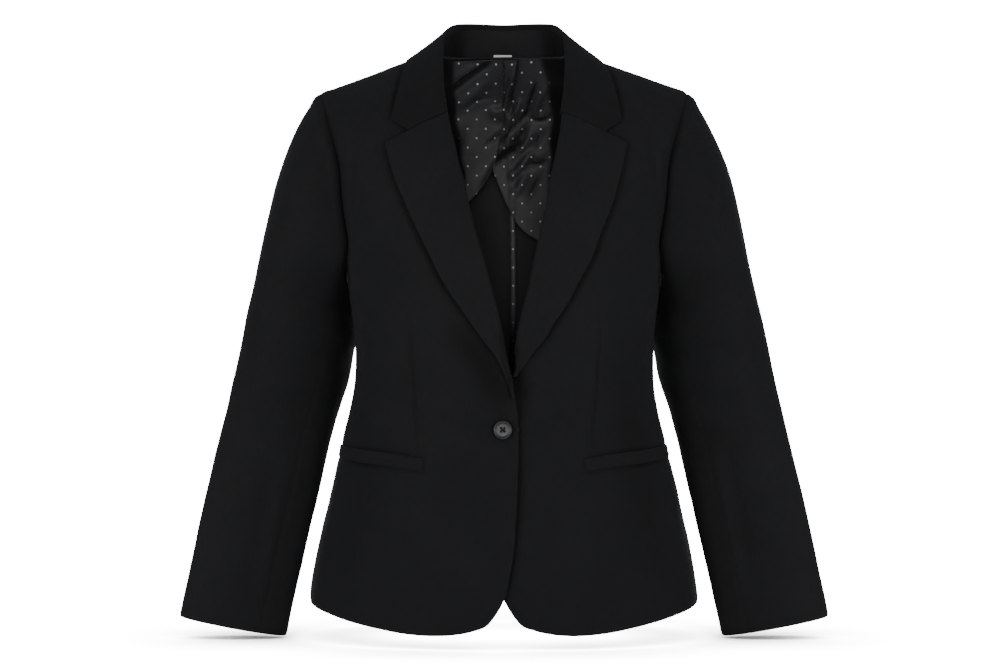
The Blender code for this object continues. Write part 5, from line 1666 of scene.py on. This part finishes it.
def wear_and_shade_group():
    """Rubbed edges read from the mesh, broken up, and the share of light that painted shade on the mesh
    leaves.
    """
    tree, given, result = new_group(
        "ShaderNodeTree", "edge wear", {"Break Up": 160.0}, {"Mask": "Float", "Open": "Float"}
    )
    spread = kept_on_mesh(tree, "rubbed_edges_and_painted_shade")
    noise = new_node(tree, "ShaderNodeTexNoise", {"Vector": place_on_piece(tree), "Scale": given["Break Up"]})
    feed(tree, result["Mask"], maths(tree, "MULTIPLY", maths(tree, "MAXIMUM", spread, 0.0), noise["Fac"]))
    # below 0 the mesh's value is painted shade
    light_left = maths(tree, "MULTIPLY_ADD", maths(tree, "MINIMUM", spread, 0.0), PAINTED_SHADE_STEP, 1.0)
    feed(tree, result["Open"], maths(tree, "MAXIMUM", light_left, LEAST_LIGHT_LEFT))
    return tree


GROUPS = {"weave": weave_group(), "nap": nap_group(), "dots": dots_group(), "wear_and_painted_shade": wear_and_shade_group()}


# ---- materials -----------------------------------------------------------------------------------
def placed(tree, group, inputs=None):
    """One of the shared groups in a material, with its own values; returns its outputs."""
    return new_node(tree, "ShaderNodeGroup", inputs, node_tree=GROUPS[group])


def new_material(name, settings):
    """A material with its constants on the shader's own sockets."""
    material = bpy.data.materials.new(name)
    material.use_nodes = True
    tree = material.node_tree
    shader = tree.nodes["Principled BSDF"]
    for label, value in settings.items():
        shader.inputs[label].default_value = value
    return material, tree, shader


def finished(tree, shader, colour, rough, height, strength, distance):
    """Joins a material's colour, roughness and fine relief to its shader."""
    relief = {"Strength": strength, "Distance": distance, "Height": height}
    feed(tree, shader.inputs["Base Color"], colour)
    feed(tree, shader.inputs["Roughness"], rough)
    feed(tree, shader.inputs["Normal"], new_node(tree, "ShaderNodeBump", relief)["Normal"])


def with_painted_crease_shade(tree, colour, reach, power, lit=1.0):
    """A colour with painted shade in creases and where one piece lies against another, from occlusion near
    the surface.
    """
    near = new_node(tree, "ShaderNodeAmbientOcclusion", {"Distance": reach}, samples=6)["AO"]
    share = maths(tree, "MULTIPLY", maths(tree, "POWER", near, power), lit)
    # the painted shade's colour at its deepest
    return blended(tree, share, (0.0005, 0.0005, 0.0006), colour)


def suiting_material():
    """Near-black fine suiting: plain weave, matt nap, a little shine on pressed edges; painted shade in
    creases and where pieces overlap, and a lighter wrong side that is partly painted light.
    """
    material, tree, shader = new_material(
        "near_black_suiting",
        {"Metallic": 0.0, "Specular IOR Level": 0.1, "Sheen Weight": 0.025, "Sheen Roughness": 0.6,
         "Sheen Tint": (0.9, 0.92, 1.0, 1)},
    )
    weave = placed(tree, "weave", {"Place": place_on_cloth(tree), "Threads per Metre": 1450.0})
    nap = placed(tree, "nap", {"Place": place_on_piece(tree), "Cloud Size": 16.0, "Fibre Size": 1100.0})
    wear_and_painted_shade = placed(tree, "wear_and_painted_shade")
    shade = summed(
        tree, 0.0, (weave["Shade"], 0.55), (nap["Cloud"], 0.3), (nap["Fibre"], 0.25), (wear_and_painted_shade["Mask"], 0.16)
    )
    face = blended(tree, shade, (0.0034, 0.0034, 0.0038), (0.0092, 0.0092, 0.0102))
    # the wrong side's lighter colour, partly painted light
    back = blended(tree, shade, (0.0205, 0.0205, 0.0222), (0.0470, 0.0470, 0.0500))
    colour = blended(tree, kept_on_mesh(tree, "wrong_face_and_painted_shading"), face, back)
    colour = with_painted_crease_shade(tree, colour, 0.016, 1.7, wear_and_painted_shade["Open"])
    rough = summed(tree, 0.88, (wear_and_painted_shade["Mask"], -0.08), (nap["Cloud"], -0.08))
    height = summed(tree, weave["Height"], (nap["Fibre"], 0.6))
    finished(tree, shader, colour, rough, height, 0.45, 0.00016)
    return material


def lining_material(name, dark, light):
    """Satin with small off-white dots; the mesh says how much painted shade lies on each part of it."""
    material, tree, shader = new_material(
        name,
        {"Metallic": 0.0, "Specular IOR Level": 0.26, "Anisotropic": 0.3, "Sheen Weight": 0.05,
         "Sheen Roughness": 0.35},
    )
    flat = place_on_cloth(tree)
    weave = placed(tree, "weave", {"Place": flat, "Threads per Metre": 3200.0, "Diagonal": 0.7})
    nap = placed(tree, "nap", {"Place": place_on_piece(tree), "Cloud Size": 30.0, "Fibre Size": 1800.0})
    painted_shade = kept_on_mesh(tree, "wrong_face_and_painted_shading")
    ground = blended(tree, summed(tree, 0.0, (weave["Shade"], 0.5), (nap["Cloud"], 0.5)), dark, light)
    dotted = blended(tree, placed(tree, "dots", {"Place": flat})["Mask"], ground, (0.52, 0.52, 0.53))
    # painted shade, near black
    deep = blended(tree, painted_shade, dotted, (0.0025, 0.0025, 0.0028))
    rough = summed(tree, 0.44, (nap["Cloud"], 0.12), (painted_shade, 0.35))
    finished(tree, shader, with_painted_crease_shade(tree, deep, 0.012, 1.5), rough, weave["Height"], 0.25, 0.00008)
    return material


def button_material():
    """Dark grey moulded button, slightly clouded and rubbed brighter on its rim."""
    material, tree, shader = new_material(
        "grey_button", {"Metallic": 0.0, "Specular IOR Level": 0.3, "Coat Roughness": 0.3}
    )
    nap = placed(tree, "nap", {"Place": place_on_piece(tree), "Cloud Size": 260.0, "Fibre Size": 2600.0})
    worn = maths(tree, "SUBTRACT", new_node(tree, "ShaderNodeNewGeometry")["Pointiness"], 0.45)
    shade = summed(tree, 0.0, (nap["Cloud"], 0.7), (worn, 2.0))
    colour = blended(tree, shade, (0.0097, 0.0097, 0.0106), (0.0303, 0.0308, 0.0327))
    rough = summed(tree, 0.30, (nap["Fibre"], 0.16))
    finished(tree, shader, colour, rough, nap["Fibre"], 0.12, 0.0001)
    return material


def thread_material(name, low, high):
    """Dull twisted thread."""
    material, tree, shader = new_material(
        name, {"Metallic": 0.0, "Specular IOR Level": 0.14, "Sheen Weight": 0.04}
    )
    nap = placed(tree, "nap", {"Place": place_on_piece(tree), "Cloud Size": 500.0, "Fibre Size": 5200.0})
    rough = summed(tree, 0.6, (nap["Fibre"], 0.2))
    finished(tree, shader, blended(tree, nap["Cloud"], low, high), rough, nap["Fibre"], 0.4, 0.00008)
    return material


def label_material():
    """Off-white woven tape, left blank."""
    material, tree, shader = new_material(
        "off_white_label", {"Metallic": 0.0, "Specular IOR Level": 0.3, "Sheen Weight": 0.15}
    )
    weave = placed(tree, "weave", {"Place": place_on_cloth(tree), "Threads per Metre": 2600.0})
    colour = blended(tree, weave["Shade"], (0.50, 0.50, 0.50), (0.72, 0.72, 0.71))
    rough = summed(tree, 0.7, (weave["Height"], 0.15))
    finished(tree, shader, colour, rough, weave["Height"], 0.4, 0.0001)
    return material


MATERIALS = {
    "suiting": suiting_material(),
    "lining": lining_material("dotted_satin", (0.0255, 0.0255, 0.028), (0.049, 0.049, 0.0535)),
    "button": button_material(),
    "tape": lining_material("dotted_tape", (0.062, 0.062, 0.067), (0.105, 0.105, 0.112)),
    "thread": thread_material("dark_thread", (0.0022, 0.0022, 0.0026), (0.007, 0.007, 0.008)),
    "buttonhole_thread": thread_material("grey_thread", (0.008, 0.008, 0.009), (0.017, 0.017, 0.019)),
    "label": label_material(),
}

# The material of some kinds of piece; any other takes the suiting.
SLOTS = {"back_lining": "lining", "seam_binding": "lining", "neck_label": "label"}


def dressed(piece, node, material):
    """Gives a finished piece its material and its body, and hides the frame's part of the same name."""
    piece.data.materials.clear()
    piece.data.materials.append(MATERIALS[material])
    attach(piece, "root")
    if node:
        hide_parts(node)


# ---- everything made -----------------------------------------------------------------------------
PANELS = build_panels()
BACK_FACES = search_tree([PANELS["back_right_cloth"], PANELS["back_left_cloth"]])
PIECES = {**PANELS, **build_sleeves(), **build_lapels()}
PIECES["collar_stand_cloth"] = build_stand()
PIECES["collar_fall_cloth"] = build_fall(PANELS)
PIECES.update(build_welts(PANELS))
for side in SIDES:
    PIECES[f"back_lining_{side_name(side)}_cloth"] = build_lining(BACK_FACES, side)
PIECES["seam_binding_cloth"] = build_binding(BACK_FACES)
PIECES["neck_label_cloth"] = build_label()
for name, piece in PIECES.items():
    node = name.removesuffix("_cloth")
    kind = node.removesuffix("_right").removesuffix("_left")
    slot = SLOTS.get(kind, "suiting")
    dressed(piece, node, "tape" if kind == "seam_binding" else slot)

dressed(build_button(), "button", "button")
dressed(build_button_thread(), None, "thread")
STITCHES = stitch_tree()
for name, path, thread, slot, kind in stitch_paths(PIECES):
    piece = stitched(name, STITCHES, path, MATERIALS[thread], STITCH_SIZES[kind])
    dressed(piece, None, thread)

# ---- studio --------------------------------------------------------------------------------------
FLOOR = {"height": -642.5, "reach": 14000.0}
PALE = 17.0  # how bright the floor and the wall of the studio look
ROOM_LIGHT = 0.14
LIGHTS = (  # name, place, what it faces, width and height in metres, watts
    ("left_window", (2.1, -2.6, -0.18), (0, 0, -0.45), (1.2, 0.85), 43),
    ("right_window", (-2.1, -2.6, -0.18), (0, 0, -0.45), (1.2, 0.85), 46),
    ("middle_fill", (0, -3.3, -0.2), (0, 0, -0.3), (0.8, 0.8), 36),
    ("left_edge", (3.0, -1.2, -0.28), (0, 0, -0.5), (0.9, 0.65), 14),
    ("right_edge", (-3.0, -1.2, -0.28), (0, 0, -0.5), (0.9, 0.65), 14),
    ("above", (0, 0.3, 2.4), (0, 0, -0.3), (1.2, 1.2), 4),
    ("left_behind", (1.3, 3.3, 0.1), (0, 0, -0.35), (1.2, 1.7), 34),
    ("right_behind", (-1.3, 3.3, 0.1), (0, 0, -0.35), (1.2, 1.7), 34),
)


def build_floor():
    """A wide pale floor that looks lit from within, with a painted soft shadow where the blazer comes near
    it.
    """
    corners = [(x * FLOOR["reach"], y * FLOOR["reach"], FLOOR["height"])
               for x, y in ((-1, -1), (1, -1), (1, 1), (-1, 1))]
    floor = add_mesh("studio_floor", corners, [(0, 1, 2, 3)])
    material, tree, shader = new_material(
        "pale_floor", {"Base Color": (0.90, 0.90, 0.90, 1), "Roughness": 0.9, "Specular IOR Level": 0.1}
    )
    # painted shadow: the glow fades where the blazer is near
    near = new_node(tree, "ShaderNodeAmbientOcclusion", {"Distance": 0.11}, samples=8)["AO"]
    strength = maths(tree, "MULTIPLY", maths(tree, "POWER", near, 3.3), PALE)
    glow = new_node(tree, "ShaderNodeEmission", {"Strength": strength})["Emission"]
    both = tree.nodes.new("ShaderNodeMixShader")
    seen = new_node(tree, "ShaderNodeLightPath")["Is Camera Ray"]
    for socket, value in zip(both.inputs, (seen, shader.outputs["BSDF"], glow)):
        tree.links.new(value, socket)
    tree.links.new(both.outputs["Shader"], tree.nodes["Material Output"].inputs["Surface"])
    floor.data.materials.append(material)


def soft_light(name, place, target, size, watts):
    lamp = bpy.data.lights.new(name, "AREA")
    lamp.shape, lamp.size, lamp.size_y = "RECTANGLE", size[0], size[1]
    lamp.energy = watts
    light = bpy.data.objects.new(name, lamp)
    bpy.context.scene.collection.objects.link(light)
    light.location = place
    light.rotation_euler = (Vector(target) - Vector(place)).to_track_quat("-Z", "Y").to_euler()


def build_room():
    """The pale wall behind, which lights the blazer only a little."""
    world = bpy.data.worlds.new("studio")
    world.use_nodes = True
    tree = world.node_tree
    wall = tree.nodes["Background"].inputs
    wall["Color"].default_value = (1, 1, 1, 1)
    seen = new_node(tree, "ShaderNodeLightPath")["Is Camera Ray"]
    feed(tree, wall["Strength"], maths(tree, "MULTIPLY_ADD", seen, PALE - ROOM_LIGHT, ROOM_LIGHT))
    bpy.context.scene.world = world


def place_camera():
    camera = bpy.data.cameras.new("camera")
    camera.sensor_width = 36.0
    camera.lens = 82.54
    eye = bpy.data.objects.new("camera", camera)
    bpy.context.scene.collection.objects.link(eye)
    eye.location = (0, -2.6, -0.306)
    eye.rotation_euler = (math.pi / 2, 0, 0)
    bpy.context.scene.camera = eye


build_floor()
for light in LIGHTS:
    soft_light(*light)
build_room()
place_camera()
